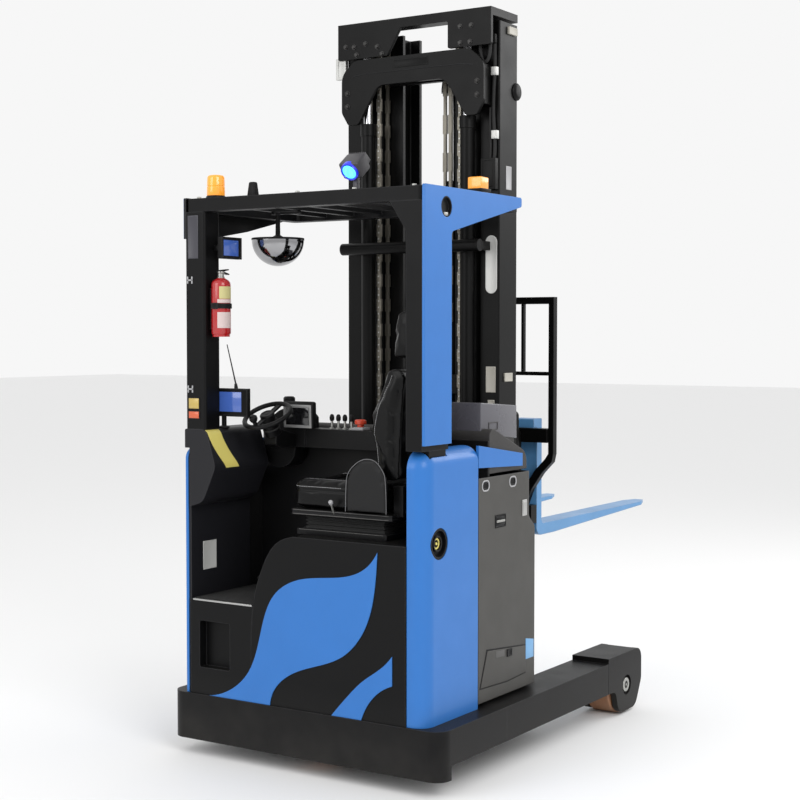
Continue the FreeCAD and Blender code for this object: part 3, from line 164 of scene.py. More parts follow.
def wear_tool():
    """Masks for rubbed edges and for dust that settles low down and on flat tops."""
    tree, enter, leave = shader_tool("rub_and_dust", {"Width": 0.004, "Dust top": 0.35},
        ["Rub", "Dust", "Patches"])
    place = node_of(tree, "TexCoord", {})["Object"]
    surface = node_of(tree, "NewGeometry", {})
    edge = node_of(tree, "Bevel", {"Radius": enter["Width"]}, samples=4)["Normal"]
    turn = node_of(tree, "VectorMath", {0: edge, 1: surface["True Normal"]}, operation="DOT_PRODUCT")["Value"]
    patches = node_of(tree, "TexNoise", {"Vector": place, "Scale": 9.0, "Detail": 5})["Fac"]
    sharp = node_of(tree, "MapRange", {"Value": turn, "From Min": 0.985, "From Max": 0.8})["Result"]
    rub = node_of(tree, "Math", {0: sharp, 1: patches}, operation="MULTIPLY")["Value"]
    height = node_of(tree, "SeparateXYZ", {"Vector": place})["Z"]
    low = node_of(tree, "MapRange", {"Value": height, "From Max": enter["Dust top"], "To Min": 1.0,
        "To Max": 0.0})["Result"]
    upward = node_of(tree, "SeparateXYZ", {"Vector": surface["Normal"]})["Z"]
    flat = node_of(tree, "MapRange", {"Value": upward, "From Min": 0.6, "From Max": 1.0,
        "To Max": 0.5})["Result"]
    both = node_of(tree, "Math", {0: low, 1: flat}, operation="MAXIMUM")["Value"]
    dust = node_of(tree, "Math", {0: both, 1: patches}, operation="MULTIPLY")["Value"]
    fed(tree, leave, {"Rub": rub, "Dust": dust, "Patches": patches})
    return tree


fine_grain = grain_tool()
rub_and_dust = wear_tool()
dust_colour = (0.3, 0.28, 0.25)


def blended(tree, factor, first, second, share=1.0):
    """Colour that goes from one colour (or socket) to another by a share of a mask."""
    amount = node_of(tree, "Math", {0: factor, 1: share}, operation="MULTIPLY")["Value"]
    return node_of(tree, "Mix", {"Factor": amount, "A": first, "B": second}, data_type="RGBA")["Result"]


def finish_of(name, colour, roughness, texture, metallic=0.0, rub=0.25, rub_colour=(0.2, 0.2, 0.21), dust=0.1,
        dust_top=0.35, uneven=0.12, coat=0.0, shine=0.5, glow=(1, 1, 1), power=0.0):
    """A surface finish: colour, rubbed edges and a little dust over a texture, which is
    given by how many grains there are in a metre, their depth and the width of edges."""
    grain, depth, edge = texture
    material = bpy.data.materials.new(name)
    material.use_nodes = True
    tree = material.node_tree
    grained = node_of(tree, "Group", {"Scale": grain, "Depth": depth, "Edge": edge},
        node_tree=fine_grain)["Normal"]
    wear = node_of(tree, "Group", {"Width": edge * 1.5, "Dust top": dust_top}, node_tree=rub_and_dust)
    patches = wear["Patches"]
    base = blended(tree, patches, (*colour, 1), (*(c * (1 - uneven) for c in colour), 1))
    base = blended(tree, wear["Rub"], base, (*rub_colour, 1), rub)
    base = blended(tree, wear["Dust"], base, (*dust_colour, 1), dust)
    rough = node_of(tree, "MapRange", {"Value": patches, "To Min": max(roughness - 0.08, 0.02),
        "To Max": min(roughness + 0.1, 1.0)})["Result"]
    fed(tree, tree.nodes["Principled BSDF"], {"Base Color": base, "Roughness": rough, "Metallic": metallic,
        "Normal": grained, "Specular IOR Level": shine, "Coat Weight": coat, "Coat Roughness": 0.12,
        "Emission Color": (*glow, 1), "Emission Strength": power})
    return material


def finish_nodes(material, *names):
    for name in names:
        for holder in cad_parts[name].material_slots:
            holder.material = material


def from_rear(x, y, z):
    """A place given by its distance from the rear bumper, the centre plane and the floor."""
    return Vector((rear_face + x, y, z))


def primitive(name, kind, place, extent=(1, 1, 1), turn=(0, 0, 0), **more):
    """A mesh primitive at its place and size, with both kept in its mesh."""
    bpy.ops.object.select_all(action="DESELECT")
    getattr(bpy.ops.mesh, "primitive_" + kind + "_add")(location=place, rotation=turn, **more)
    piece = bpy.context.object
    piece.name = piece.data.name = name
    piece.scale = extent
    bpy.ops.object.transform_apply(location=True, rotation=True, scale=True)
    return piece


def pick(piece, chosen):
    """Opens a piece for editing with the faces selected whose centre and normal fit."""
    bpy.context.view_layer.objects.active = piece
    bpy.ops.object.mode_set(mode="EDIT")
    bpy.ops.mesh.select_mode(type="FACE")
    bpy.ops.mesh.select_all(action="DESELECT")
    shape = bmesh.from_edit_mesh(piece.data)
    for face in shape.faces:
        if chosen(face.calc_center_median(), face.normal):
            face.select_set(True)
    bmesh.update_edit_mesh(piece.data)


def done():
    """Leaves edit mode."""
    bpy.ops.object.mode_set(mode="OBJECT")


def drawn_out(piece, chosen, move, scale, centre):
    """Extrudes the chosen faces by a move and scales their new end about a centre."""
    pick(piece, chosen)
    bpy.ops.mesh.extrude_region_move(TRANSFORM_OT_translate={"value": move})
    bpy.ops.transform.resize(value=scale, center_override=centre)
    done()


def facing(*direction):
    return lambda centre, normal: normal.dot(Vector(direction)) > 0.9


rear_side, right_side, top_side = facing(-1, 0, 0), facing(0, -1, 0), facing(0, 0, 1)


def stepped(piece, chosen, border, height):
    """Insets the chosen faces by a border and raises or sinks what is inside it."""
    pick(piece, chosen)
    bpy.ops.mesh.inset(thickness=border)
    bpy.ops.mesh.extrude_region_shrink_fatten(TRANSFORM_OT_shrink_fatten={"value": height})
    done()
    return piece


def modified(piece, kind, **settings):
    """Gives a piece a modifier with its settings and makes the result its mesh."""
    change = piece.modifiers.new(kind, kind)
    for label, value in settings.items():
        setattr(change, label, value)
    bpy.context.view_layer.objects.active = piece
    bpy.ops.object.modifier_apply(modifier=change.name)
    return piece


def bevelled(piece, width, segments=3):
    return modified(piece, "BEVEL", width=width, segments=segments, limit_method="ANGLE",
        angle_limit=math.radians(40))


def slab(name, low, high):
    """Plain block between two corners, ready to be stepped and bevelled."""
    low, high = Vector(low), Vector(high)
    return primitive(name, "cube", from_rear(*((low + high) / 2)), extent=high - low, size=1)


def block(name, low, high, soft, segments=3):
    """Plain block with softened edges."""
    return bevelled(slab(name, low, high), soft, segments)


def panel(name, low, high, side, border, height, soft, segments=3):
    """Block with softened edges whose face on one side is stepped in or out."""
    return bevelled(stepped(slab(name, low, high), side, border, height), soft, segments)


def turned(name, place, axis, radius, steps, sides=40):
    """Round piece built up along an axis: each step runs on by a length and ends at a
    radius, and a length below zero sinks back into it."""
    along = Vector(axis).normalized()
    tip = from_rear(*place)
    first, now = steps[0]
    piece = primitive(name, "cone", tip + along * first / 2, vertices=sides, depth=first, radius1=radius,
        radius2=now, turn=along.to_track_quat("Z", "Y").to_euler())
    tip = tip + along * first
    for length, end in steps[1:]:
        drawn_out(piece, lambda centre, normal: abs(normal.dot(along)) > 0.9 and (centre - tip).length < 2e-4,
            along * length, (end / now,) * 3, tip + along * length)
        tip, now = tip + along * length, end
    return piece


def repeated(piece, shifts):
    """Copies of a piece, each with its own mesh, joined to it."""
    made = [piece]
    for shift in shifts:
        one = piece.copy()
        one.data = piece.data.copy()
        one.data.transform(Matrix.Translation(shift))
        bpy.context.scene.collection.objects.link(one)
        made.append(one)
    return together(made)


def along_row(*shift, count):
    """Shifts for further copies of a piece, each as far from the one before it."""
    return [Vector(shift) * step for step in range(1, count + 1)]


def together(made):
    bpy.ops.object.select_all(action="DESELECT")
    for item in made:
        item.select_set(True)
    bpy.context.view_layer.objects.active = made[0]
    bpy.ops.object.join()
    return made[0]


def only(piece):
    """Makes a piece the one that is selected and active."""
    bpy.ops.object.select_all(action="DESELECT")
    piece.select_set(True)
    bpy.context.view_layer.objects.active = piece


def fitted(piece, material, body="chassis", stands_for=(), angle=35):
    """Gives a finished piece its material, its body and its smooth faces."""
    only(piece)
    bpy.ops.object.shade_smooth_by_angle(angle=math.radians(angle))
    piece.data.materials.clear()
    piece.data.materials.append(material)
    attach(piece, body)
    if stands_for:
        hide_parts(*stands_for)
    return piece


def metal(piece, material, body="chassis"):
    """Fits a small bare or plated metal piece."""
    return fitted(piece, material, body)


def both_sides(piece, material):
    """Fits a piece and its twin across the centre plane, each named for its side."""
    fitted(piece, material)
    here, there = ("right", "left") if "right" in piece.name else ("left", "right")
    twin = piece.copy()
    twin.data = piece.data.copy()
    twin.name = twin.data.name = piece.name.replace(here, there)
    twin.data.transform(Matrix.Scale(-1, 4, (0, 1, 0)))
    twin.data.flip_normals()
    bpy.context.scene.collection.objects.link(twin)
    fitted(twin, material)


black_powder = finish_of("black_powder_coat", (0.0035, 0.0035, 0.004), 0.42, (700, 0.35, 0.003), shine=0.14)
finish_nodes(black_powder, "base_frame", "leg_left", "leg_right", "drive_unit", "reach_frame")
zinc = finish_of("zinc_plate", (0.42, 0.42, 0.4), 0.36, (220, 0.08, 0.002), metallic=0.9, rub=0.1)

leg_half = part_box("leg_left")[1].y
wheel_low, wheel_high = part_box("load_tyre_left")
wheel_x, wheel_z = (wheel_low.x + wheel_high.x) / 2 - rear_face, (wheel_low.z + wheel_high.z) / 2
both_sides(turned("axle_cap_left", (wheel_x, leg_half - 0.0125, wheel_z), (0, 1, 0), 0.031,
    [(0.009, 0.031), (0.0015, 0.029), (0, 0.017), (-0.003, 0.0155), (0, 0.006), (0.003, 0.005)]),
    zinc)


# ---- wheels ----
# Load and drive wheels: machined iron hubs with orange-brown polyurethane cast onto
# them.  The tread is scuffed and picks up floor dust.
bare_iron = finish_of("machined_iron", (0.2, 0.2, 0.205), 0.38, (300, 0.1, 0.002), metallic=0.9)
polyurethane = finish_of("polyurethane", (0.3, 0.115, 0.035), 0.45, (250, 0.08, 0.004), rub=0.1,
    dust=0.35, dust_top=0.3)
finish_nodes(bare_iron, "load_hub_left", "load_hub_right", "drive_hub")
finish_nodes(polyurethane, "load_tyre_left", "load_tyre_right", "drive_tyre")


# ---- painted side panels, rear panel and step ----
# Pressed steel panels in smooth blue paint over black lower mouldings, with blue
# sweeps inlaid on the rear panel.  The step floor carries a ribbed rubber mat held
# by an aluminium nosing; reflectors and a blank plate are screwed to the left side.
blue_paint = finish_of("smooth_blue_paint", (0.025, 0.158, 0.49), 0.34, (90, 0.05, 0.003), rub=0.12,
    rub_colour=(0.2, 0.4, 0.75), dust=0.04, coat=0.1, shine=0.3)
finish_nodes(blue_paint, "side_panel_left", "side_panel_right", "hood_bands", "livery")


def two_tone(material, name, axis, middle, reach, colour):
    """A copy of a material with another colour within a reach of a place on an axis."""
    other = material.copy()
    other.name = name
    tree = other.node_tree
    shader = tree.nodes["Principled BSDF"]
    own_colour = shader.inputs["Base Color"].links[0].from_socket
    place = node_of(tree, "TexCoord", {})["Object"]
    along = node_of(tree, "SeparateXYZ", {"Vector": place})[axis]
    within = node_of(tree, "Math", {0: along, 1: middle, 2: reach}, operation="COMPARE")["Value"]
    tint = node_of(tree, "Mix", {"Factor": within, "A": own_colour, "B": (*colour, 1)}, data_type="RGBA")
    fed(tree, shader, {"Base Color": tint["Result"]})
    return other


pedestal_black = finish_of("pedestal_black", (0.0035, 0.0035, 0.0038), 0.4, (500, 0.2, 0.004),
    dust=0.06, shine=0.14)
finish_nodes(pedestal_black, "pedestal", "floor_step", "battery", "steering_column")
rubber = finish_of("step_rubber", (0.02, 0.02, 0.02), 0.7, (500, 0.3, 0.002), dust_top=0.16, shine=0.25)
bare_alloy = finish_of("brushed_alloy", (0.5, 0.5, 0.49), 0.34, (260, 0.12, 0.002), metallic=0.85,
    rub=0.1, dust=0.08)

floor_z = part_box("floor_step")[1].z
mat = panel("step_mat", (0.026, 0.236, floor_z), (0.468, 0.528, floor_z + 0.0035), top_side, 0.012,
    -0.0008, 0.0012, 2)
rib = block("step_mat_ribs", (0.044, 0.252, floor_z + 0.002), (0.054, 0.512, floor_z + 0.0052), 0.0014, 2)
repeated(rib, along_row(0.0205, 0, 0, count=19))
fitted(together([mat, rib]), rubber)
nosing = block("step_nosing", (0.003, 0.226, floor_z - 0.004), (0.0058, 0.52, floor_z + 0.003), 0.001)
lip = block("step_nosing_lip", (0.0015, 0.226, floor_z + 0.0002), (0.014, 0.52, floor_z + 0.003), 0.001)
metal(together([nosing, lip]), bare_alloy)

amber_reflector = finish_of("amber_reflector", (0.5, 0.36, 0.08), 0.22, (900, 0.5, 0.001), dust=0.02, coat=0.6)
red_reflector = finish_of("red_reflector", (0.62, 0.1, 0.025), 0.22, (900, 0.5, 0.001), dust=0.02, coat=0.6)
pillar_rear = 0.006
for name, low, high, lens in (
        ("pillar_reflector_upper", 1.378, 1.418, amber_reflector),
        ("pillar_reflector_lower", 1.34, 1.366, red_reflector)):
    fitted(panel(name + "_frame", (pillar_rear - 0.002, 0.482, low - 0.003), (pillar_rear, 0.54, high + 0.003),
        rear_side, 0.0025, -0.0006, 0.0006, 2), pedestal_black)
    fitted(panel(name, (pillar_rear - 0.0035, 0.486, low), (pillar_rear - 0.001, 0.536, high), rear_side, 0.003,
        0.0008, 0.0008, 2), lens)
silver_plate = finish_of("blank_silver_plate", (0.62, 0.62, 0.6), 0.42, (240, 0.03, 0.001), metallic=0.2)
lining_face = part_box("console_left")[1].y - 0.024
metal(panel("blank_plate", (0.084, lining_face - 0.0015, 0.728), (0.166, lining_face - 0.0001, 0.842),
    right_side, 0.004, -0.0004, 0.0008, 2), silver_plate)

socket_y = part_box("side_panel_right")[0].y
fitted(turned("power_socket", (0.108, socket_y + 0.034, 0.91), (0, -1, 0), 0.052,
    [(0.02, 0.0565), (0.011, 0.0575), (0.0012, 0.0565), (0, 0.049), (-0.02, 0.046), (0, 0.03), (0.014, 0.029),
    (0, 0.024), (-0.01, 0.023)]), pedestal_black)
yellow_moulding = finish_of("yellow_moulding", (0.72, 0.62, 0.16), 0.42, (500, 0.15, 0.002), rub=0.1,
    rub_colour=(0.7, 0.62, 0.3))
fitted(turned("power_socket_core", (0.108, socket_y + 0.03, 0.91), (0, -1, 0), 0.0225,
    [(0.014, 0.0225), (0.002, 0.0205), (0, 0.015), (-0.004, 0.0145), (0, 0.006), (0.005, 0.005)]),
    yellow_moulding)


# ---- battery covers and hood ----
# Grained warm grey mouldings over the battery and the hydraulics.  The covers lift
# out by two lined hand holes and are held by a recessed lock and a latch; a hatch is
# let in below.  The hood has a smoked lid with ridges and a grip.
cover_grey = finish_of("warm_grey_moulding", (0.058, 0.056, 0.052), 0.5, (900, 0.4, 0.005),
    rub_colour=(0.22, 0.21, 0.2), dust=0.08, shine=0.35)
hood_grey = finish_of("hood_grey_moulding", (0.034, 0.032, 0.031), 0.48, (900, 0.4, 0.006), shine=0.35)
cover_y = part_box("battery_covers")[0].y
finish_nodes(two_tone(cover_grey, "warm_grey_cover", "Y", 0.0, -cover_y - 0.001, (0.006, 0.006, 0.006)),
    "battery_covers")
finish_nodes(hood_grey, "hood")
smoked_lid = finish_of("smoked_lid", (0.085, 0.083, 0.098), 0.26, (200, 0.04, 0.006),
    rub_colour=(0.3, 0.3, 0.32), dust=0.12, coat=0.3)
grey_plate = finish_of("blank_grey_plate", (0.36, 0.36, 0.37), 0.45, (200, 0.03, 0.001))


def capsule(name, x, half, low, high, near, far):
    """Upright block whose corners are rounded to a capsule."""
    piece = slab(name, (x - half, far, low), (x + half, near, high))
    pick(piece, lambda centre, normal: False)
    bpy.ops.mesh.select_mode(type="EDGE")
    shape = bmesh.from_edit_mesh(piece.data)
    for edge in shape.edges:
        if abs((edge.verts[0].co - edge.verts[1].co).normalized().y) > 0.9:
            edge.select_set(True)
    bmesh.update_edit_mesh(piece.data)
    bpy.ops.mesh.bevel(offset=min(half, (high - low) / 2) * 0.93, segments=8)
    done()
    return piece


for number, x in enumerate((0.442, 0.655)):
    hold = capsule("hand_hold_%d_right" % number, x, 0.029, 1.072, 1.116, cover_y + 0.004, cover_y - 0.0016)
    stepped(hold, right_side, 0.0058, -0.004)
    bevelled(hold, 0.0008, 2)
    well = capsule("hand_hold_well_%d_right" % number, x, 0.0215, 1.0795, 1.1085, cover_y + 0.003,
        cover_y - 0.0003)
    stepped(well, right_side, 0.003, -0.002)
    both_sides(hold, grey_plate)
    both_sides(well, pedestal_black)

lock = slab("cover_lock_right", (0.514, cover_y - 0.0022, 0.924), (0.598, cover_y + 0.002, 0.974))
stepped(lock, right_side, 0.005, -0.002)
stepped(lock, right_side, 0.004, 0.0016)
both_sides(bevelled(lock, 0.001, 2), pedestal_black)
both_sides(block("cover_lock_bar_right", (0.524, cover_y - 0.0042, 0.944), (0.588, cover_y - 0.0008, 0.953),
    0.0012, 2), zinc)

both_sides(panel("cover_latch_right", (0.731, cover_y - 0.0035, 0.95), (0.768, cover_y + 0.001, 1.014),
    right_side, 0.007, 0.0025, 0.0025, 4), bare_alloy)


def prism(name, plane, corners, near, far, soft, segments=3):
    """Prism with softened edges."""
    return bevelled(extruded(name, plane, corners, near, far), soft, segments)


def extruded(name, plane, corners, near, far):
    """Prism whose outline lies in a plane, between two distances from that plane."""
    def corner(u, v, w):
        return from_rear(u, w, v) if plane == "XZ" else from_rear(w, u, v)
    piece = primitive(name, "circle", (0, 0, 0), vertices=len(corners), fill_type="NGON", radius=1)
    for vertex, (u, v) in zip(piece.data.vertices, corners):
        vertex.co = corner(u, v, near)
    pick(piece, lambda centre, normal: True)
    bpy.ops.mesh.extrude_region_move(TRANSFORM_OT_translate={"value": corner(0, 0, far) - corner(0, 0, near)})
    bpy.ops.mesh.select_all(action="SELECT")
    bpy.ops.mesh.normals_make_consistent(inside=False)
    done()
    return piece


both_sides(prism("hatch_seam_right", "XZ", [(0.397, 0.319), (0.451, 0.465), (0.7, 0.4405), (0.764, 0.4345),
    (0.764, 0.318), (0.61, 0.3095)], cover_y + 0.002, cover_y - 0.0008, 0.0006), pedestal_black)
both_sides(prism("lower_hatch_right", "XZ", [(0.402, 0.323), (0.455, 0.458), (0.7, 0.435), (0.76, 0.429),
    (0.76, 0.322), (0.61, 0.314)], cover_y, cover_y - 0.0035, 0.0014), cover_grey)
fitted(panel("hatch_catch_right", (0.604, cover_y - 0.0075, 0.41), (0.642, cover_y - 0.003, 0.44), right_side,
    0.005, -0.0015, 0.001, 2), pedestal_black)
# Dull grey for the blank hatch tag; the same grey paints the highlight strips on the seat base.
tag_grey_and_highlight = finish_of("dull_grey_tag", (0.08, 0.078, 0.075), 0.5, (240, 0.05, 0.001))
metal(prism("hatch_blank_tag", "XZ", [(0.516, 0.421), (0.516, 0.446), (0.585, 0.442), (0.585, 0.417)],
    cover_y - 0.0034, cover_y - 0.0043, 0.0003, 2), tag_grey_and_highlight)
# Painted highlight: the body's blue made paler on the small plate at the front corner, where that blue looks lit
# brighter.
lit_body_blue = finish_of("pale_blue_plate", (0.16, 0.38, 0.66), 0.35, (150, 0.05, 0.002))
fitted(prism("corner_blank_plate", "XZ", [(0.764, 0.372), (0.764, 0.456), (0.83, 0.444), (0.83, 0.372)],
    cover_y, cover_y - 0.0015, 0.0006), lit_body_blue)

lid = extruded("hood_lid", "XZ", [(0.5015, 1.285), (0.7885, 1.255), (0.786, 1.386), (0.5015, 1.4062)],
    -0.5035, -0.1465)
stepped(lid, top_side, 0.03, -0.004)
bevelled(lid, 0.01, 4)
fitted(lid, smoked_lid)
ridge = prism("hood_lid_ridges", "XZ", [(0.54, 1.398), (0.75, 1.383), (0.745, 1.39), (0.545, 1.404)],
    -0.455, -0.445, 0.002)
repeated(ridge, along_row(0, 0.04, 0, count=6))
fitted(ridge, smoked_lid)
fitted(panel("hood_lid_grip", (0.56, -0.5065, 1.296), (0.632, -0.5, 1.328), right_side, 0.004, -0.0045,
    0.0015), hood_grey)


# ---- dash, console, steering and controls ----
# Moulded black dash with a framed display, four lever grips and a mushroom stop; a
# leaning steering wheel with a soft rim and a spinner knob; rubber-faced pedals; and
# a grey console on the left wall with a yellow grab strip.
cab_black = finish_of("cab_black_moulding", (0.004, 0.004, 0.0044), 0.44, (800, 0.35, 0.003),
    dust=0.06, shine=0.17)
console_grey = finish_of("console_grey_moulding", (0.011, 0.011, 0.0135), 0.46, (800, 0.35, 0.004),
    dust=0.06, shine=0.22)
finish_nodes(cab_black, "dash", "bulkhead")
finish_nodes(console_grey, "console_left")

strip_rows, strip_foot, strip_height, lean_in = 24, 1.144, 0.15, 0.073
strip = primitive("grab_strip", "grid", from_rear(0.1225, 0.38, 1.219), extent=(0.08, 0.15, 1),
    x_subdivisions=12, y_subdivisions=strip_rows, size=1, turn=(math.radians(90), 0, 0))
for row in range(strip_rows):
    pick(strip, lambda centre, normal: centre.z > strip_foot + strip_height * row / strip_rows)
    curve = (1 - (row + 1) / strip_rows) ** 1.7 - (1 - row / strip_rows) ** 1.7
    bpy.ops.transform.translate(value=(lean_in * curve, 0, 0))
    done()
modified(strip, "SHRINKWRAP", target=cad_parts["console_left"], wrap_method="PROJECT", offset=0.0016,
    use_project_y=True, use_negative_direction=True, use_positive_direction=True)
modified(strip, "SOLIDIFY", thickness=0.0015, offset=0)
fitted(strip, yellow_moulding)

wheel_at = from_rear(0.23, 0.322, 1.345)
lean = math.radians(28.0)
shaft = Vector((-math.sin(lean), 0, math.cos(lean)))
rim = primitive("steering_rim", "torus", wheel_at, major_radius=0.0945, minor_radius=0.01, major_segments=64,
    minor_segments=16, turn=(0, -lean, 0))
pick(rim, lambda centre, normal: normal.dot(shaft) < -0.55)
bpy.ops.mesh.inset(thickness=0.0012)
bpy.ops.mesh.extrude_region_shrink_fatten(TRANSFORM_OT_shrink_fatten={"value": -0.0012})
done()
fitted(rim, cab_black, "steering_wheel", stands_for=["steering_wheel"])
wheel_foot = wheel_at - from_rear(0, 0, 0)    # the same place, counted from the rear
fitted(turned("steering_boss", wheel_foot - shaft * 0.024, shaft, 0.026,
    [(0.018, 0.03), (0.012, 0.03), (0.005, 0.026), (0, 0.019), (-0.0015, 0.018), (0, 0.008), (0.001, 0.007)]),
    cab_black, "steering_wheel")
spoke = primitive("steering_spokes", "cube", wheel_at - shaft * 0.002, extent=(0.184, 0.022, 0.009), size=1,
    turn=(0, -lean, 0))
stepped(spoke, lambda centre, normal: normal.dot(shaft) > 0.9, 0.004, -0.0015)
bevelled(spoke, 0.002)
fitted(spoke, cab_black, "steering_wheel")
rim_way = Vector((-math.cos(lean), 0, -math.sin(lean)))
fitted(turned("spinner_knob", wheel_foot + rim_way * 0.083, shaft, 0.0085,
    [(0.02, 0.0085), (0.004, 0.013), (0.009, 0.0168), (0.01, 0.016), (0.006, 0.01), (0.001, 0.004)]), cab_black,
    "steering_wheel")
fitted(turned("steering_boot", wheel_foot - shaft * 0.058, shaft, 0.036,
    [(0.004, 0.036), (0.004, 0.032), (0.004, 0.034), (0.004, 0.029), (0.004, 0.031), (0.006, 0.024)]), rubber)

ledge_x, ledge_z = 0.435, 1.288
stem = turned("lever_stems", (ledge_x, 0.056, ledge_z - 0.001), (0, 0, 1), 0.012,
    [(0.003, 0.012), (0.004, 0.0055), (0.03, 0.005), (0.002, 0.0048)])
repeated(stem, along_row(0, 0.032, 0, count=3))
fitted(stem, zinc, stands_for=["controls"])
grip = turned("lever_grips", (ledge_x, 0.056, ledge_z + 0.032), (0, 0, 1), 0.0065,
    [(0.004, 0.0095), (0.01, 0.01), (0.007, 0.0085), (0.0055, 0.005), (0.0008, 0.003)])
repeated(grip, along_row(0, 0.032, 0, count=3))
fitted(grip, cab_black)
stop_red = finish_of("stop_red_moulding", (0.62, 0.055, 0.02), 0.35, (500, 0.08, 0.002), rub=0.1,
    rub_colour=(0.8, 0.3, 0.2), dust=0.05, coat=0.2)
fitted(panel("stop_base", (0.409, -0.016, ledge_z - 0.001), (0.461, 0.04, ledge_z + 0.009), top_side, 0.006,
    0.002, 0.002), grey_plate)
fitted(turned("stop_button", (ledge_x, 0.012, ledge_z + 0.01), (0, 0, 1), 0.013,
    [(0.011, 0.014), (0.002, 0.023), (0.008, 0.0242), (0.006, 0.0235), (0.004, 0.019), (0.001, 0.01),
    (0, 0.006), (-0.0008, 0.005)]), stop_red)
for index, y in enumerate((0.25, 0.34, 0.43)):
    pedal = extruded("pedal_%d" % index, "XZ", [(0.48, 0.684), (0.48, 0.714), (0.375, 0.662),
        (0.38, 0.646)], y, y + 0.062)
    stepped(pedal, lambda centre, normal: normal.z > 0.8, 0.005, 0.002)
    stepped(pedal, lambda centre, normal: normal.z > 0.8 and centre.z > 0.66, 0.004, -0.0012)
    fitted(bevelled(pedal, 0.002), rubber)


# ---- screens ----
# Two camera screens and the truck's own display: black housings with softened
# edges, a raised bezel, glossy glass and, on the lower one, two whip aerials.
glass_lit = finish_of("screen_glass_blue", (0.035, 0.075, 0.26), 0.1, (40, 0.0, 0.0005), rub=0.0, dust=0.02,
    uneven=0.35, coat=0.6, glow=(0.07, 0.17, 0.62), power=0.35)
glass_dark = finish_of("screen_glass_dark", (0.006, 0.006, 0.007), 0.12, (40, 0.0, 0.0005), rub=0.0,
    dust=0.03, coat=0.6)
frame_silver = finish_of("display_frame", (0.3, 0.3, 0.3), 0.36, (260, 0.08, 0.002), metallic=0.3, dust=0.06)

upper = slab("pillar_screen_housing", (0.04, 0.392, 1.965), (0.16, 0.416, 2.05))
stepped(upper, right_side, 0.006, -0.0015)
stepped(upper, facing(0, 1, 0), 0.012, 0.006)
bevelled(upper, 0.003)
arm = block("pillar_screen_arm", (0.06, 0.42, 1.998), (0.078, 0.4545, 2.018), 0.003)
clamp = turned("pillar_screen_clamp", (0.069, 0.424, 2.008), (0, 1, 0), 0.016, [(0.01, 0.016), (0.003, 0.012)])
fitted(together([upper, arm, clamp]), cab_black, stands_for=["monitors"])
fitted(panel("pillar_screen_glass", (0.049, 0.3926, 1.977), (0.139, 0.3945, 2.038), right_side, 0.0015, 0.0003,
    0.0004, 2), glass_lit)

lower = slab("console_screen_housing", (0.101, 0.322, 1.345), (0.122, 0.516, 1.456))
stepped(lower, rear_side, 0.005, -0.0012)
stepped(lower, facing(1, 0, 0), 0.014, 0.008)
bevelled(lower, 0.0035)
post = turned("console_screen_post", (0.14, 0.47, 1.2965), (0, 0, 1), 0.022,
    [(0.006, 0.022), (0.004, 0.01), (0.09, 0.0095), (0.008, 0.015), (0.012, 0.015), (0.003, 0.01)])
tie = block("console_screen_tie", (0.128, 0.452, 1.382), (0.146, 0.482, 1.404), 0.003)
feet = turned("aerial_sockets", (0.112, 0.506, 1.454), (0, 0.12, 1), 0.0075,
    [(0.006, 0.0075), (0.014, 0.0055), (0.002, 0.004)])
repeated(feet, [Vector((0, -0.121, 0))])
whip = turned("aerials", (0.112, 0.508, 1.474), (0, 0.28, 1), 0.0034,
    [(0.02, 0.003), (0.14, 0.0019), (0.002, 0.001)], sides=12)
repeated(whip, [Vector((0, -0.121, 0))])
fitted(together([lower, post, tie, feet, whip]), cab_black)
fitted(panel("console_screen_glass", (0.1014, 0.352, 1.364), (0.1032, 0.466, 1.442), rear_side, 0.0015, 0.0003,
    0.0004, 2), glass_lit)

shell = prism("display_housing", "XZ", [(0.356, 1.29), (0.352, 1.386), (0.362, 1.4), (0.382, 1.396),
    (0.384, 1.29)], 0.19, 0.338, 0.006)
button = turned("dash_sensor", (0.392, 0.335, 1.352), (0, 0, 1), 0.024,
    [(0.022, 0.021), (0.01, 0.02), (0.004, 0.024), (0.022, 0.024), (0.006, 0.018), (0.001, 0.008)])
fitted(together([shell, button]), cab_black)
surround = extruded("display_surround", "XZ", [(0.3535, 1.292), (0.3495, 1.384), (0.353, 1.386),
    (0.357, 1.292)], 0.196, 0.334)
stepped(surround, lambda centre, normal: normal.x < -0.9, 0.0105, -0.0012)
fitted(bevelled(surround, 0.0012, 2), frame_silver)
fitted(prism("display_glass", "XZ", [(0.3522, 1.304), (0.3492, 1.373), (0.352, 1.373), (0.355, 1.304)], 0.208,
    0.322, 0.0005, 2), glass_dark)


# ---- driver's seat ----
# Cushion, back and head pad of moulded foam under black leathercloth, sewn in panels
# with raised twin stitching, on a moulded base with bellows; foam hip guards stand
# against both ends of the cushion.
seat_leather = finish_of("black_leathercloth", (0.0026, 0.0026, 0.0028), 0.3, (420, 0.55, 0.004), rub=0.04,
    dust=0.01, uneven=0.3, coat=0.03, shine=0.16)
hip_leather = finish_of("grey_leathercloth", (0.0075, 0.0075, 0.008), 0.44, (420, 0.55, 0.004), rub=0.06,
    dust=0.02, shine=0.22)
# Light thread for the twin stitching, also used for the painted highlight rows along the back's edge and the
# cushion's side.
thread_and_highlight = finish_of("light_thread", (0.52, 0.52, 0.53), 0.6, (900, 0.4, 0.0004), rub=0.0)


def plumped(node, name, inset, cap, pressure=4.0, cell=0.006):
    """Foam pad: the CAD solid a little smaller, blown up like a filled cover."""
    pad = placed(name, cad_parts[node].data.copy())
    pad.data.name = name
    return pumped(pad, inset, cap, pressure, cell)


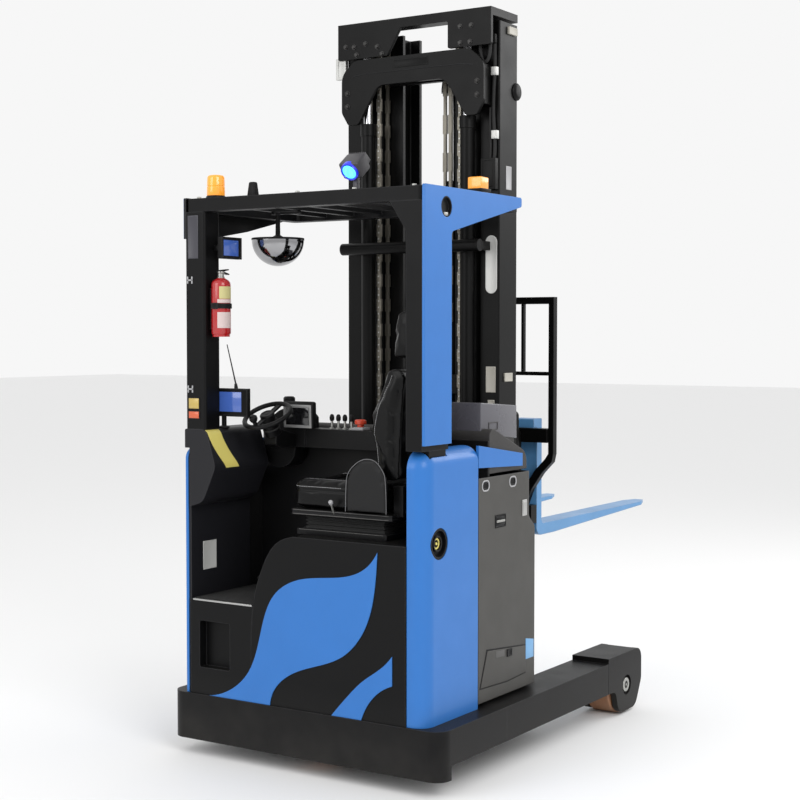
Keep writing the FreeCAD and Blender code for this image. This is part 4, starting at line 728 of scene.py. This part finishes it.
def pumped(pad, inset, cap, pressure, cell):
    """A shape made a little smaller, meshed in even cells and blown up like a cover."""
    only(pad)
    bpy.ops.object.mode_set(mode="EDIT")
    bpy.ops.mesh.select_all(action="SELECT")
    bpy.ops.mesh.remove_doubles(threshold=0.0002)
    done()
    low = Vector([min(v.co[axis] for v in pad.data.vertices) for axis in range(3)])
    high = Vector([max(v.co[axis] for v in pad.data.vertices) for axis in range(3)])
    centre, size = (low + high) / 2, high - low
    for vertex in pad.data.vertices:
        away = vertex.co - centre
        vertex.co = centre + Vector([away[axis] * (1 - 2 * inset / size[axis]) for axis in range(3)])
    modified(pad, "REMESH", mode="VOXEL", voxel_size=cell)
    start = [vertex.co.copy() for vertex in pad.data.vertices]
    cover = pad.modifiers.new("cover", "CLOTH")
    cover.settings.use_pressure = True
    cover.settings.uniform_pressure_force = pressure
    cover.settings.effector_weights.gravity = 0
    cover.settings.quality = 4
    cover.collision_settings.use_collision = False
    for step in range(1, 21):
        bpy.context.scene.frame_set(step)
    bpy.ops.object.modifier_apply(modifier="cover")
    bpy.context.scene.frame_set(1)
    for vertex, place in zip(pad.data.vertices, start):
        move = vertex.co - place
        if move.length > cap:
            vertex.co = place + move.normalized() * cap
    return modified(pad, "SUBSURF", levels=1, render_levels=1)


def sewn(pad, near, depth, width):
    """Sinks a sewn channel where a place lies near a line; near gives the distance."""
    pad.data.update()
    normals = [vertex.normal.copy() for vertex in pad.data.vertices]
    for vertex, normal in zip(pad.data.vertices, normals):
        off = near(vertex.co, normal)
        if off < width:
            vertex.co -= normal * depth * (0.5 + 0.5 * math.cos(math.pi * off / width))


def stitched(name, pad, path, aim, spacing=0.0075):
    """A row of raised stitches laid on a pad along a path, found by looking along aim."""
    pad.data.update()
    surface = BVHTree.FromPolygons([v.co for v in pad.data.vertices], [p.vertices for p in pad.data.polygons])
    seed = primitive(name, "cube", (0, 0, 0), extent=(0.0052, 0.0013, 0.0013), size=1)
    bevelled(seed, 0.0005, 2)
    shapes = []
    for start, end in zip(path, path[1:]):
        start, end = from_rear(*start), from_rear(*end)
        count = max(int((end - start).length / spacing), 1)
        for step in range(count):
            here = start.lerp(end, (step + 0.5) / count)
            hit, normal, _, _ = surface.ray_cast(here, Vector(aim))
            if hit is None:
                continue
            side = (end - start).normalized()
            side = (side - normal * side.dot(normal)).normalized()
            turn = Matrix((side, normal.cross(side), normal)).transposed().to_4x4()
            one = seed.data.copy()
            one.transform(Matrix.Translation(hit + normal * 0.0003) @ turn)
            shapes.append(placed(name, one))
    bpy.data.objects.remove(seed)
    row = together(shapes)
    row.name = row.data.name = name
    fitted(row, thread_and_highlight)


def twin_rows(name, pad, middle, apart, start, stop, aim):
    """Two rows of stitches that run side by side, each as far from a middle."""
    for side, end in ((-1, "rear"), (1, "front")):
        x = middle + side * apart
        stitched(name + "_stitching_" + end, pad, [(x, *start), (x, *stop)], aim)


def tube(name, x, points, radius, material, body):
    """Round hose or piping with closed ends, in a plane across the truck at x, that
    follows its points smoothly."""
    path = bpy.data.curves.new(name, "CURVE")
    path.dimensions = "3D"
    path.bevel_depth = radius
    path.bevel_resolution = 4
    path.use_fill_caps = True
    line = path.splines.new("NURBS")
    line.points.add(len(points) - 1)
    for point, place in zip(line.points, points):
        point.co = (*from_rear(x, *place), 1)
    line.order_u = 3
    line.use_endpoint_u = True
    line.resolution_u = 8
    only(placed(name, path))
    bpy.ops.object.convert(target="MESH")
    return fitted(bpy.context.object, material, body)


seat_low, seat_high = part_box("seat_cushion")
seat_mid = (seat_low + seat_high) / 2
cushion = plumped("seat_cushion", "seat_cushion_cover", 0.011, 0.01)
for vertex in cushion.data.vertices:
    across = (vertex.co.x - seat_mid.x) / (seat_high.x - seat_mid.x)
    along = (vertex.co.y - seat_mid.y) / (seat_high.y - seat_mid.y)
    height = (vertex.co.z - seat_low.z) / (seat_high.z - seat_low.z)
    if height > 0.5:
        dish = 0.012 * max(0.0, 1 - (across / 0.6) ** 2) * max(0.0, 1 - along ** 2)
        vertex.co.z -= dish * (height - 0.5) * 2
sewn(cushion, lambda p, n: abs(abs(p.x - seat_mid.x) - 0.118) if n.z > 0.45 else 1, 0.006, 0.011)
sewn(cushion, lambda p, n: abs(p.y - seat_mid.y - 0.13) if n.z > 0.45 and abs(p.x - seat_mid.x) < 0.118 else 1,
    0.004, 0.01)
sewn(cushion, lambda p, n: abs(p.z - seat_high.z + 0.04) if abs(n.z) < 0.6 else 1, 0.004, 0.008)
fitted(cushion, seat_leather, stands_for=["seat_cushion"], angle=60)
seat_x = seat_mid.x - rear_face
twin_rows("cushion", cushion, seat_x, 0.127, (-0.17, 1.16), (0.085, 1.16), (0, 0, -1))
# Light stitches on the cushion's rear side seam; the row is partly a painted highlight, standing in for light along
# the cushion's top edge.
stitched("cushion_side_stitching", cushion, [(0.02, -0.14, 1.0905), (0.02, 0.1, 1.0905)], (1, 0, 0))

back = plumped("seat_back", "seat_back_cover", 0.01, 0.009)
back_low, back_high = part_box("seat_back")
back_x = (back_low.x + back_high.x) / 2
sewn(back, lambda p, n: abs(abs(p.x - back_x) - 0.115) if n.y > 0.3 else 1, 0.006, 0.011)
sewn(back, lambda p, n: abs(p.z - 1.33) if n.y > 0.3 and abs(p.x - back_x) < 0.115 else 1, 0.004, 0.01)
sewn(back, lambda p, n: abs(p.z - 1.455) if n.y > 0.3 and abs(p.x - back_x) < 0.115 else 1, 0.004, 0.01)
sewn(back, lambda p, n: abs(abs(p.x - back_x) - 0.165) if n.y < -0.5 else 1, 0.004, 0.009)
fitted(back, seat_leather, stands_for=["seat_back"], angle=60)
twin_rows("back", back, back_x - rear_face, 0.125, (-0.15, 1.17), (-0.15, 1.5), (0, -1, 0))
# Painted highlight: a row of light stitches along the back's edge stands in for light on the edge of the bolster.
stitched("back_edge_stitching", back, [(0.04, -0.305, 1.15), (0.04, -0.29, 1.31), (0.04, -0.315, 1.42),
    (0.04, -0.365, 1.52)], (1, 0, 0))

head = pumped(extruded("headrest_cover", "YZ", [(-0.313, 1.577), (-0.316, 1.69), (-0.334, 1.752),
    (-0.36, 1.765), (-0.41, 1.765), (-0.43, 1.745), (-0.428, 1.577)], 0.16, 0.37), 0.008, 0.008, 4.0, 0.006)
head_middle = 0.265
head_x = from_rear(head_middle, 0, 0).x
sewn(head, lambda p, n: abs(abs(p.x - head_x) - 0.07) if n.y > 0.2 or n.z > 0.6 else 1, 0.005, 0.01)
fitted(head, seat_leather, stands_for=["headrest"], angle=60)
twin_rows("headrest", head, head_middle, 0.062, (-0.2, 1.6), (-0.2, 1.73), (0, -1, 0))
post = turned("headrest_posts", (0.215, -0.382, 1.517), (0, -0.125, 1), 0.0068,
    [(0.075, 0.0068), (0.004, 0.006)], sides=20)
repeated(post, [Vector((0.1, 0, 0))])
fitted(post, bare_alloy)

base = panel("seat_base_moulding", (0.09, -0.34, 0.9052), (0.44, 0.07, 0.927), top_side, 0.016, 0.002, 0.005)
folds = slab("seat_bellows", (0.112, -0.318, 0.928), (0.418, 0.048, 0.933))
fold = 0.00625
for step in range(8):
    drawn_out(folds, lambda centre, normal: normal.z > 0.9 and centre.z > 0.932 + fold * step, (0, 0, fold),
        (0.94, 0.95, 1) if step % 2 == 0 else (1 / 0.94, 1 / 0.95, 1), from_rear(0.265, -0.135, 0.95))
bevelled(folds, 0.0016, 2)
fitted(folds, rubber)
deck = slab("seat_deck", (0.075, -0.375, 0.982), (0.455, 0.085, 1.0035))
stepped(deck, lambda centre, normal: abs(normal.z) < 0.1, 0.006, -0.0025)
bevelled(deck, 0.004)
hinge = panel("seat_hinge", (0.112, -0.399, 0.996), (0.418, -0.357, 1.112), right_side, 0.016, -0.004, 0.005)
# Painted highlights: thin grey strips along the edges of the seat deck and base stand in for light on their rounded
# black edges.
deck_highlight = block("seat_deck_trims", (0.0742, -0.36, 0.9835), (0.0768, 0.078, 0.9865), 0.0008, 2)
upper_deck_highlight = slab("seat_deck_trim_upper", (0.0742, -0.36, 0.999), (0.0768, 0.078, 1.0015))
base_highlight = slab("seat_base_trim", (0.0892, -0.325, 0.9235), (0.0915, 0.062, 0.9262))
metal(together([deck_highlight, bevelled(upper_deck_highlight, 0.0008, 2), bevelled(base_highlight, 0.0008, 2)]), tag_grey_and_highlight)
fitted(together([base, deck, hinge]), cab_black, stands_for=["seat_base"])
metal(turned("seat_lever", (0.082, -0.11, 0.992), (-0.55, -0.1, 0.83), 0.0042,
    [(0.012, 0.0042), (0.04, 0.004), (0.002, 0.0038)], sides=16), zinc)
fitted(turned("seat_lever_knob", (0.056, -0.1147, 1.032), (-0.55, -0.1, 0.83), 0.0055,
    [(0.004, 0.008), (0.009, 0.0088), (0.004, 0.006), (0.0006, 0.003)], sides=24), grey_plate)
for name, near, far in (("hip_guard_rear", 0.0402, 0.0615), ("hip_guard_front", 0.4686, 0.4798)):
    thin = far - near < 0.015
    guard = pumped(extruded(name, "YZ", [(-0.188, 1.009), (-0.188, 1.128), (-0.206, 1.17), (-0.262, 1.213),
        (-0.318, 1.213), (-0.352, 1.18), (-0.373, 1.14), (-0.373, 1.009)], near, far),
        0.0012 if thin else 0.003, 0.001 if thin else 0.0028, 3.0, 0.004 if thin else 0.005)
    fitted(guard, hip_leather, angle=60)
# Painted highlight: light grey piping along the outline of the rear hip guard stands in for light on its top edge.
piping_highlight = finish_of("grey_piping", (0.14, 0.14, 0.145), 0.5, (500, 0.2, 0.0004), rub=0.0)
tube("hip_guard_piping", 0.0412, [(-0.19, 1.012), (-0.19, 1.128), (-0.208, 1.17), (-0.262, 1.211),
    (-0.318, 1.211), (-0.352, 1.178), (-0.371, 1.14), (-0.371, 1.012)], 0.0013, piping_highlight,
    "chassis")


# ---- overhead guard, lamps, mirror and extinguisher ----
# Welded box section pillars and roof in textured black, with an amber beacon and
# flasher, a blue floor spot on the mast side, a half-dome mirror under the roof and a
# strapped red extinguisher on the left pillar.
guard_black = finish_of("guard_black", (0.0036, 0.0036, 0.0039), 0.42, (600, 0.25, 0.004),
    dust=0.06, shine=0.14)
finish_nodes(guard_black, "guard_pillar_left", "guard_pillar_right", "guard_roof")
skin_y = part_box("guard_skins")[0].y
finish_nodes(two_tone(blue_paint, "guard_skin_paint", "Y", -skin_y / 2, -skin_y / 2 - 0.0008,
    (0.004, 0.004, 0.0043)), "guard_skins")
amber_lens = finish_of("amber_lens", (0.85, 0.3, 0.02), 0.12, (120, 0.05, 0.001), rub=0.0, dust=0.02, coat=0.6,
    glow=(1.0, 0.42, 0.05), power=0.35)
roof_z = 2.204
fitted(turned("beacon_foot", (0.06, 0.44, roof_z - 0.004), (0, 0, 1), 0.039,
    [(0.006, 0.039), (0.003, 0.037), (0.003, 0.034)]), cab_black, stands_for=["lamps"])
fitted(turned("beacon_lens", (0.06, 0.44, roof_z + 0.007), (0, 0, 1), 0.035,
    [(0.004, 0.036), (0.03, 0.0352), (0.0015, 0.0338), (0.002, 0.0338), (0.0015, 0.035), (0.03, 0.034),
    (0.006, 0.0325), (0.004, 0.028), (0.002, 0.018), (0.0004, 0.008)], sides=48), amber_lens)

foot = slab("flasher_foot", (0.64, -0.425, roof_z - 0.004), (0.716, -0.349, roof_z + 0.04))
stepped(foot, lambda centre, normal: abs(normal.z) < 0.1, 0.008, -0.002)
fitted(bevelled(foot, 0.006), cab_black)
lens = slab("flasher_lens", (0.648, -0.417, roof_z + 0.04), (0.708, -0.357, roof_z + 0.084))
flasher_at = from_rear(0.678, -0.387, roof_z + 0.08)
for rise, size in ((0.003, 0.86), (0.0005, 0.8), (-0.003, 0.9)):
    drawn_out(lens, lambda centre, normal: normal.z > 0.9 and (centre - flasher_at).xy.length < 0.001,
        (0, 0, rise), (size, size, 1), flasher_at)
fitted(bevelled(lens, 0.006, 4), amber_lens)

spot_grey = finish_of("spot_lamp_grey", (0.06, 0.058, 0.064), 0.42, (400, 0.2, 0.003), dust=0.05)
house = prism("floor_spot_housing", "XZ", [(0.678, roof_z + 0.111), (0.746, roof_z + 0.162),
    (0.7, roof_z + 0.222), (0.632, roof_z + 0.171)], 0.168, 0.262, 0.01, 4)
aim = Vector((-0.8, 0, -0.6))
fin = primitive("floor_spot_fins", "cube", from_rear(0.712, 0.177, roof_z + 0.183) + aim * 0.008,
    extent=(0.05, 0.0035, 0.082), size=1, turn=(0, math.radians(36.9), 0))
bevelled(fin, 0.0012, 2)
repeated(fin, along_row(0, 0.0095, 0, count=8))
stay = block("floor_spot_stay", (0.69, 0.205, roof_z - 0.004), (0.716, 0.225, roof_z + 0.15), 0.003)
fitted(together([house, fin, stay]), spot_grey)
front = Vector((0.666, 0.215, roof_z + 0.1505))
ring_lens = finish_of("spot_ring_blue", (0.01, 0.02, 0.42), 0.15, (80, 0.03, 0.001), coat=0.6,
    glow=(0.004, 0.02, 0.9), power=0.55)
core_lens = finish_of("spot_core_cyan", (0.1, 0.55, 1.0), 0.1, (80, 0.02, 0.001), coat=0.6,
    glow=(0.12, 0.72, 1.0), power=1.5)
fitted(turned("floor_spot_ring", front, aim, 0.04, [(0.02, 0.04), (0.004, 0.038), (0, 0.0335),
    (-0.004, 0.031)]), ring_lens)
fitted(turned("floor_spot_eye", front + aim * 0.0195, aim, 0.0305,
    [(0.002, 0.0305), (0.002, 0.026), (0.0014, 0.016), (0.0004, 0.006)]), core_lens)

puck = slab("roof_sensor", (0.045, 0.238, roof_z - 0.004), (0.08, 0.276, roof_z + 0.052))
pick(puck, top_side)
bpy.ops.transform.resize(value=(0.7, 0.7, 1), center_override=from_rear(0.0625, 0.257, roof_z))
done()
fitted(bevelled(puck, 0.006), cab_black)
bolt_heads = turned("roof_screws", (0.03, -0.5, roof_z - 0.005), (0, 0, 1), 0.013,
    [(0.0025, 0.013), (0, 0.0095), (0.005, 0.0095), (0.0012, 0.0075)], sides=6)
repeated(bolt_heads, [Vector((0, 1.0, 0)), Vector((0.655, 0, 0)), Vector((0.655, 1.0, 0)), Vector((0, 0.26, 0)),
    Vector((0, 0.52, 0)), Vector((0.655, 0.3, 0)), Vector((0.655, 0.58, 0))])
metal(bolt_heads, zinc)
clips = []
for low in (1.44, 1.868):
    for near, far, bottom, top in (
            (0.515, 0.521, low, low + 0.028),
            (0.537, 0.543, low, low + 0.028),
            (0.515, 0.543, low + 0.011, low + 0.017)):
        clips.append(block("pillar_clip", (0.003, near, bottom), (0.0062, far, top), 0.0008, 2))
metal(together(clips), grey_plate)
inlay_grey = finish_of("inlay_grey", (0.038, 0.037, 0.048), 0.4, (240, 0.08, 0.001))
fitted(panel("pillar_inlay", (0.0045, 0.486, 1.966), (0.0062, 0.538, 2.134), rear_side, 0.004, -0.0006, 0.0007,
    2), inlay_grey)
fitted(turned("guard_hole_liner", (0.154, skin_y + 0.016, 2.132), (0, -1, 0), 0.03,
    [(0.01, 0.0365), (0.0052, 0.0372), (0.0006, 0.0366), (0, 0.0335), (-0.012, 0.031)]), cab_black)
metal(block("guard_hole_bar", (0.14, skin_y + 0.0015, 2.098), (0.166, skin_y + 0.006, 2.112), 0.0012), zinc)

silvered = finish_of("silvered_dome", (0.33, 0.33, 0.34), 0.06, (10, 0.0, 0.0005), metallic=1.0, rub=0.0,
    dust=0.03, uneven=0.03)
dome_radius, dome_depth, dome_step = 0.105, 0.104, math.radians(6.4)
steps = [(0.0015, dome_radius)]
for step in range(1, 15):
    fall = dome_step * step
    steps.append((dome_depth * (math.sin(fall) - math.sin(fall - dome_step)), dome_radius * math.cos(fall)))
fitted(turned("mirror_dome", (0.3, 0.32, 2.0475), (0, 0, -1), dome_radius, steps, sides=64), silvered,
    stands_for=["mirror"], angle=60)
edge_ring = turned("mirror_rim", (0.3, 0.32, 2.046), (0, 0, 1), 0.1058,
    [(0.006, 0.106), (0.002, 0.105), (0, 0.03), (0.003, 0.026), (0.01, 0.01), (0.084, 0.0085), (0.003, 0.016),
    (0.004, 0.016)], sides=64)
stay = block("mirror_arm", (0.293, 0.206, 2.148), (0.307, 0.35, 2.1595), 0.0025)
fitted(together([edge_ring, stay]), cab_black)

red_gloss = finish_of("red_gloss_paint", (0.4, 0.01, 0.012), 0.22, (60, 0.03, 0.002), rub=0.05,
    dust=0.04, coat=0.5)
fitted(turned("extinguisher_bottle", (0.052, 0.41, 1.66), (0, 0, 1), 0.034,
    [(0.008, 0.034), (0.002, 0.036), (0.005, 0.038), (0.186, 0.038), (0.01, 0.0365), (0.008, 0.031),
    (0.006, 0.022), (0.003, 0.016), (0.002, 0.0135)], sides=48), red_gloss,
    stands_for=["extinguisher"])
metal(turned("extinguisher_valve", (0.052, 0.41, 1.889), (0, 0, 1), 0.0145,
    [(0.004, 0.0145), (0.002, 0.012), (0.012, 0.012), (0.002, 0.014), (0.006, 0.014), (0.001, 0.012)]), zinc)
grip = prism("extinguisher_levers", "XZ", [(0.04, 1.908), (0.06, 1.908), (0.094, 1.902), (0.094, 1.907),
    (0.062, 1.915), (0.092, 1.921), (0.091, 1.9255), (0.058, 1.922), (0.04, 1.92)], 0.401, 0.419, 0.0016, 2)
band = turned("extinguisher_strap", (0.052, 0.41, 1.77), (0, 0, 1), 0.0405,
    [(0.001, 0.042), (0.018, 0.042), (0.001, 0.0405)], sides=48)
buckle = panel("extinguisher_buckle", (0.008, 0.396, 1.768), (0.02, 0.424, 1.792), rear_side,
    0.004, -0.0015, 0.002)
cradle = block("extinguisher_bracket", (0.034, 0.446, 1.69), (0.07, 0.4538, 1.85), 0.002)
fitted(together([grip, band, buckle, cradle]), cab_black)
wrap_paper = finish_of("blank_label_yellow", (0.55, 0.5, 0.22), 0.5, (200, 0.02, 0.0004), dust=0.05)
pale_paper = finish_of("blank_label_pale", (0.62, 0.5, 0.48), 0.5, (200, 0.02, 0.0004), dust=0.05)
for name, low, high, paper, look, reach in (
        ("extinguisher_label_upper", 1.808, 1.856, wrap_paper, Vector((-0.3, -0.95, 0)), 0.72),
        ("extinguisher_label_middle", 1.792, 1.806, pale_paper, Vector((-0.3, -0.95, 0)), 0.55),
        ("extinguisher_label_lower", 1.694, 1.756, pale_paper, Vector((-0.45, -0.89, 0)), 0.7)):
    label = primitive(name, "cylinder", from_rear(0.052, 0.41, (low + high) / 2), vertices=64, radius=0.0382,
        depth=high - low, end_fill_type="NOTHING")
    pick(label, lambda centre, normal: normal.dot(look) < reach)
    bpy.ops.mesh.delete(type="FACE")
    done()
    modified(label, "SOLIDIFY", thickness=0.0003, offset=1)
    fitted(label, paper, angle=30)


# ---- mast ----
# Three nested stages of rolled black sections, with chrome rods, leaf chains over
# sheaves, bolted crossbars, and hoses held to the right upright by clips.
mast_black = finish_of("mast_black", (0.003, 0.003, 0.003), 0.36, (350, 0.2, 0.004),
    rub_colour=(0.07, 0.069, 0.067), dust=0.05, shine=0.13)
finish_nodes(mast_black, "mast_outer", "mast_outer_ties", "mast_middle", "mast_middle_ties", "mast_inner",
    "mast_inner_ties", "lift_carriage", "tilt_frame", "fork_frame", "load_backrest", "lift_cylinders",
    "free_lift_cylinder", "reach_cylinder")
hard_chrome = finish_of("hard_chrome", (0.62, 0.62, 0.64), 0.14, (200, 0.02, 0.002), metallic=1.0,
    rub=0.0, dust=0.03)
finish_nodes(hard_chrome, "lift_rods", "reach_rod", "free_lift_head")
oiled_steel = finish_of("oiled_steel", (0.2, 0.185, 0.155), 0.4, (300, 0.25, 0.002), metallic=0.75)
finish_nodes(oiled_steel, "main_chains", "free_lift_chains")

pin = turned("chain_pins", (0.8466, 0.2, 2.87), (-1, 0, 0), 0.0042,
    [(0.0012, 0.0042), (0.001, 0.0034)], sides=10)
repeated(pin, along_row(0, 0, -0.0265, count=93))
repeated(pin, [Vector((0, -0.4, 0))])
fitted(pin, zinc, "middle_mast")

hose_x = 0.861
down = [(-0.357, 2.87), (-0.358, 2.8), (-0.358, 2.735), (-0.352, 2.65), (-0.351, 2.56), (-0.358, 2.48),
    (-0.36, 2.4), (-0.352, 2.36)]
tube("mast_hose_outer", hose_x, down, 0.0075, rubber, "reach_carriage")
tube("mast_hose_inner", hose_x, [(-0.338, 2.59), (-0.336, 2.54), (-0.338, 2.48), (-0.341, 2.42),
    (-0.336, 2.36)], 0.0055, rubber, "reach_carriage")
tube("crossbar_hose", 0.828, [(-0.306, 2.88), (-0.308, 2.82), (-0.318, 2.775), (-0.334, 2.768), (-0.35, 2.785),
    (-0.356, 2.83), (-0.357, 2.88)], 0.007, rubber, "middle_mast")
clamp = panel("hose_clips", (0.8495, -0.371, 2.719), (0.8698, -0.346, 2.752), rear_side, 0.004, 0.0015, 0.0025)
repeated(clamp, [Vector((0, -0.002, -0.256))])
metal(clamp, silver_plate, "reach_carriage")
union = panel("hose_union", (0.84, -0.371, 2.258), (0.8698, -0.304, 2.384), rear_side, 0.01, 0.003, 0.008, 4)
upper = block("hose_union_upper", (0.848, -0.366, 2.845), (0.8698, -0.346, 2.885), 0.004)
fitted(together([union, upper]), mast_black, "reach_carriage")
badge_y, badge_half, badge_top, badge_foot = -0.339, 0.027, 2.046, 1.863
ends = []
for step in range(24):
    around = math.radians(15 * step + 7.5)
    ends.append((badge_y + badge_half * math.cos(around),
        (badge_top if around < math.pi else badge_foot) + badge_half * math.sin(around)))
badge = extruded("mast_blank_badge", "YZ", ends, 0.8699, 0.8676)
stepped(badge, rear_side, 0.0045, -0.0006)
metal(bevelled(badge, 0.0005, 2), silver_plate, "reach_carriage")
beige_plate = finish_of("blank_beige_plate", (0.42, 0.4, 0.35), 0.5, (240, 0.04, 0.001), dust=0.2)
mast_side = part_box("mast_outer")[0].y
plates = []
for name, low, high, side, height in (
        ("mast_side_clip", (0.912, mast_side - 0.006, 1.475), (0.976, mast_side + 0.0004, 1.51), right_side, -0.0004),
        ("mast_side_box", (0.935, mast_side - 0.01, 2.895), (1.003, mast_side + 0.0004, 2.925), right_side, -0.0004),
        ("mast_rear_plate", (0.8678, -0.36, 1.431), (0.8704, -0.315, 1.537), rear_side, -0.0005),
        ("mast_rear_tag", (0.868, -0.355, 1.379), (0.8704, -0.324, 1.4), rear_side, -0.0005)):
    plates.append(panel(name, low, high, side, 0.004, height, 0.0006, 2))
metal(together(plates), beige_plate, "reach_carriage")
metal(panel("mast_side_label", (0.925, mast_side - 0.0012, 2.262), (0.97, mast_side + 0.0004, 2.358),
    right_side, 0.004, -0.0004, 0.0005, 2), grey_plate, "reach_carriage")
fitted(turned("mast_side_bump", (1.01, mast_side + 0.0004, 2.669), (0, -1, 0), 0.036,
    [(0.004, 0.036), (0.004, 0.032), (0.004, 0.024), (0.001, 0.018)]), mast_black,
    "reach_carriage")
metal(panel("mast_left_bracket", (0.85, 0.372, 2.765), (0.8698, 0.424, 2.856), rear_side, 0.012, -0.003, 0.003),
    silver_plate, "reach_carriage")

dull_screw = finish_of("blackened_screw", (0.03, 0.029, 0.028), 0.35, (260, 0.1, 0.002), metallic=0.6)
head = turned("crossbar_screws", (0.7985, 0.292, 2.886), (-1, 0, 0), 0.012,
    [(0.002, 0.012), (0, 0.0088), (0.006, 0.0088), (0.0012, 0.007)], sides=6)
repeated(head, [Vector((0, y - 0.292, z - 2.886)) for y, z in ((0.234, 2.895), (0.174, 2.877), (0.15, 2.845),
    (0.279, 2.852), (0.335, 2.89), (-0.231, 2.918), (-0.283, 2.918), (-0.277, 2.852), (-0.231, 2.852))])
metal(head, dull_screw, "middle_mast")
fitted(prism("arch_seam", "YZ", [(0.3, 2.756), (0.24, 2.764), (-0.24, 2.764), (-0.3, 2.756), (-0.3, 2.7595),
    (-0.24, 2.7675), (0.24, 2.7675), (0.3, 2.7595)], 0.7845, 0.7862, 0.0006, 2), pedestal_black,
    "reach_carriage")
screw = turned("arch_screws", (0.786, 0.318, 2.69), (-1, 0, 0), 0.013,
    [(0.002, 0.013), (0, 0.0095), (0.006, 0.0095), (0.0012, 0.0075)], sides=6)
repeated(screw, [Vector((0, 0, -0.055)), Vector((0, -0.636, 0)), Vector((0, -0.636, -0.055))])
metal(screw, dull_screw, "reach_carriage")
tag = panel("mast_blank_plate", (0.7846, -0.085, 2.778), (0.7862, 0.085, 2.812), rear_side, 0.003,
    -0.0004, 0.0005, 2)
fitted(tag, mast_black, "reach_carriage")


# ---- forks ----
# Forged forks in light blue paint, worn to bare steel along the blade and its tip
# where loads slide on.
fork_paint = finish_of("light_blue_fork_paint", (0.105, 0.29, 0.56), 0.35, (200, 0.08, 0.004), rub=0.6,
    rub_colour=(0.42, 0.42, 0.43), uneven=0.2)
finish_nodes(fork_paint, "forks")
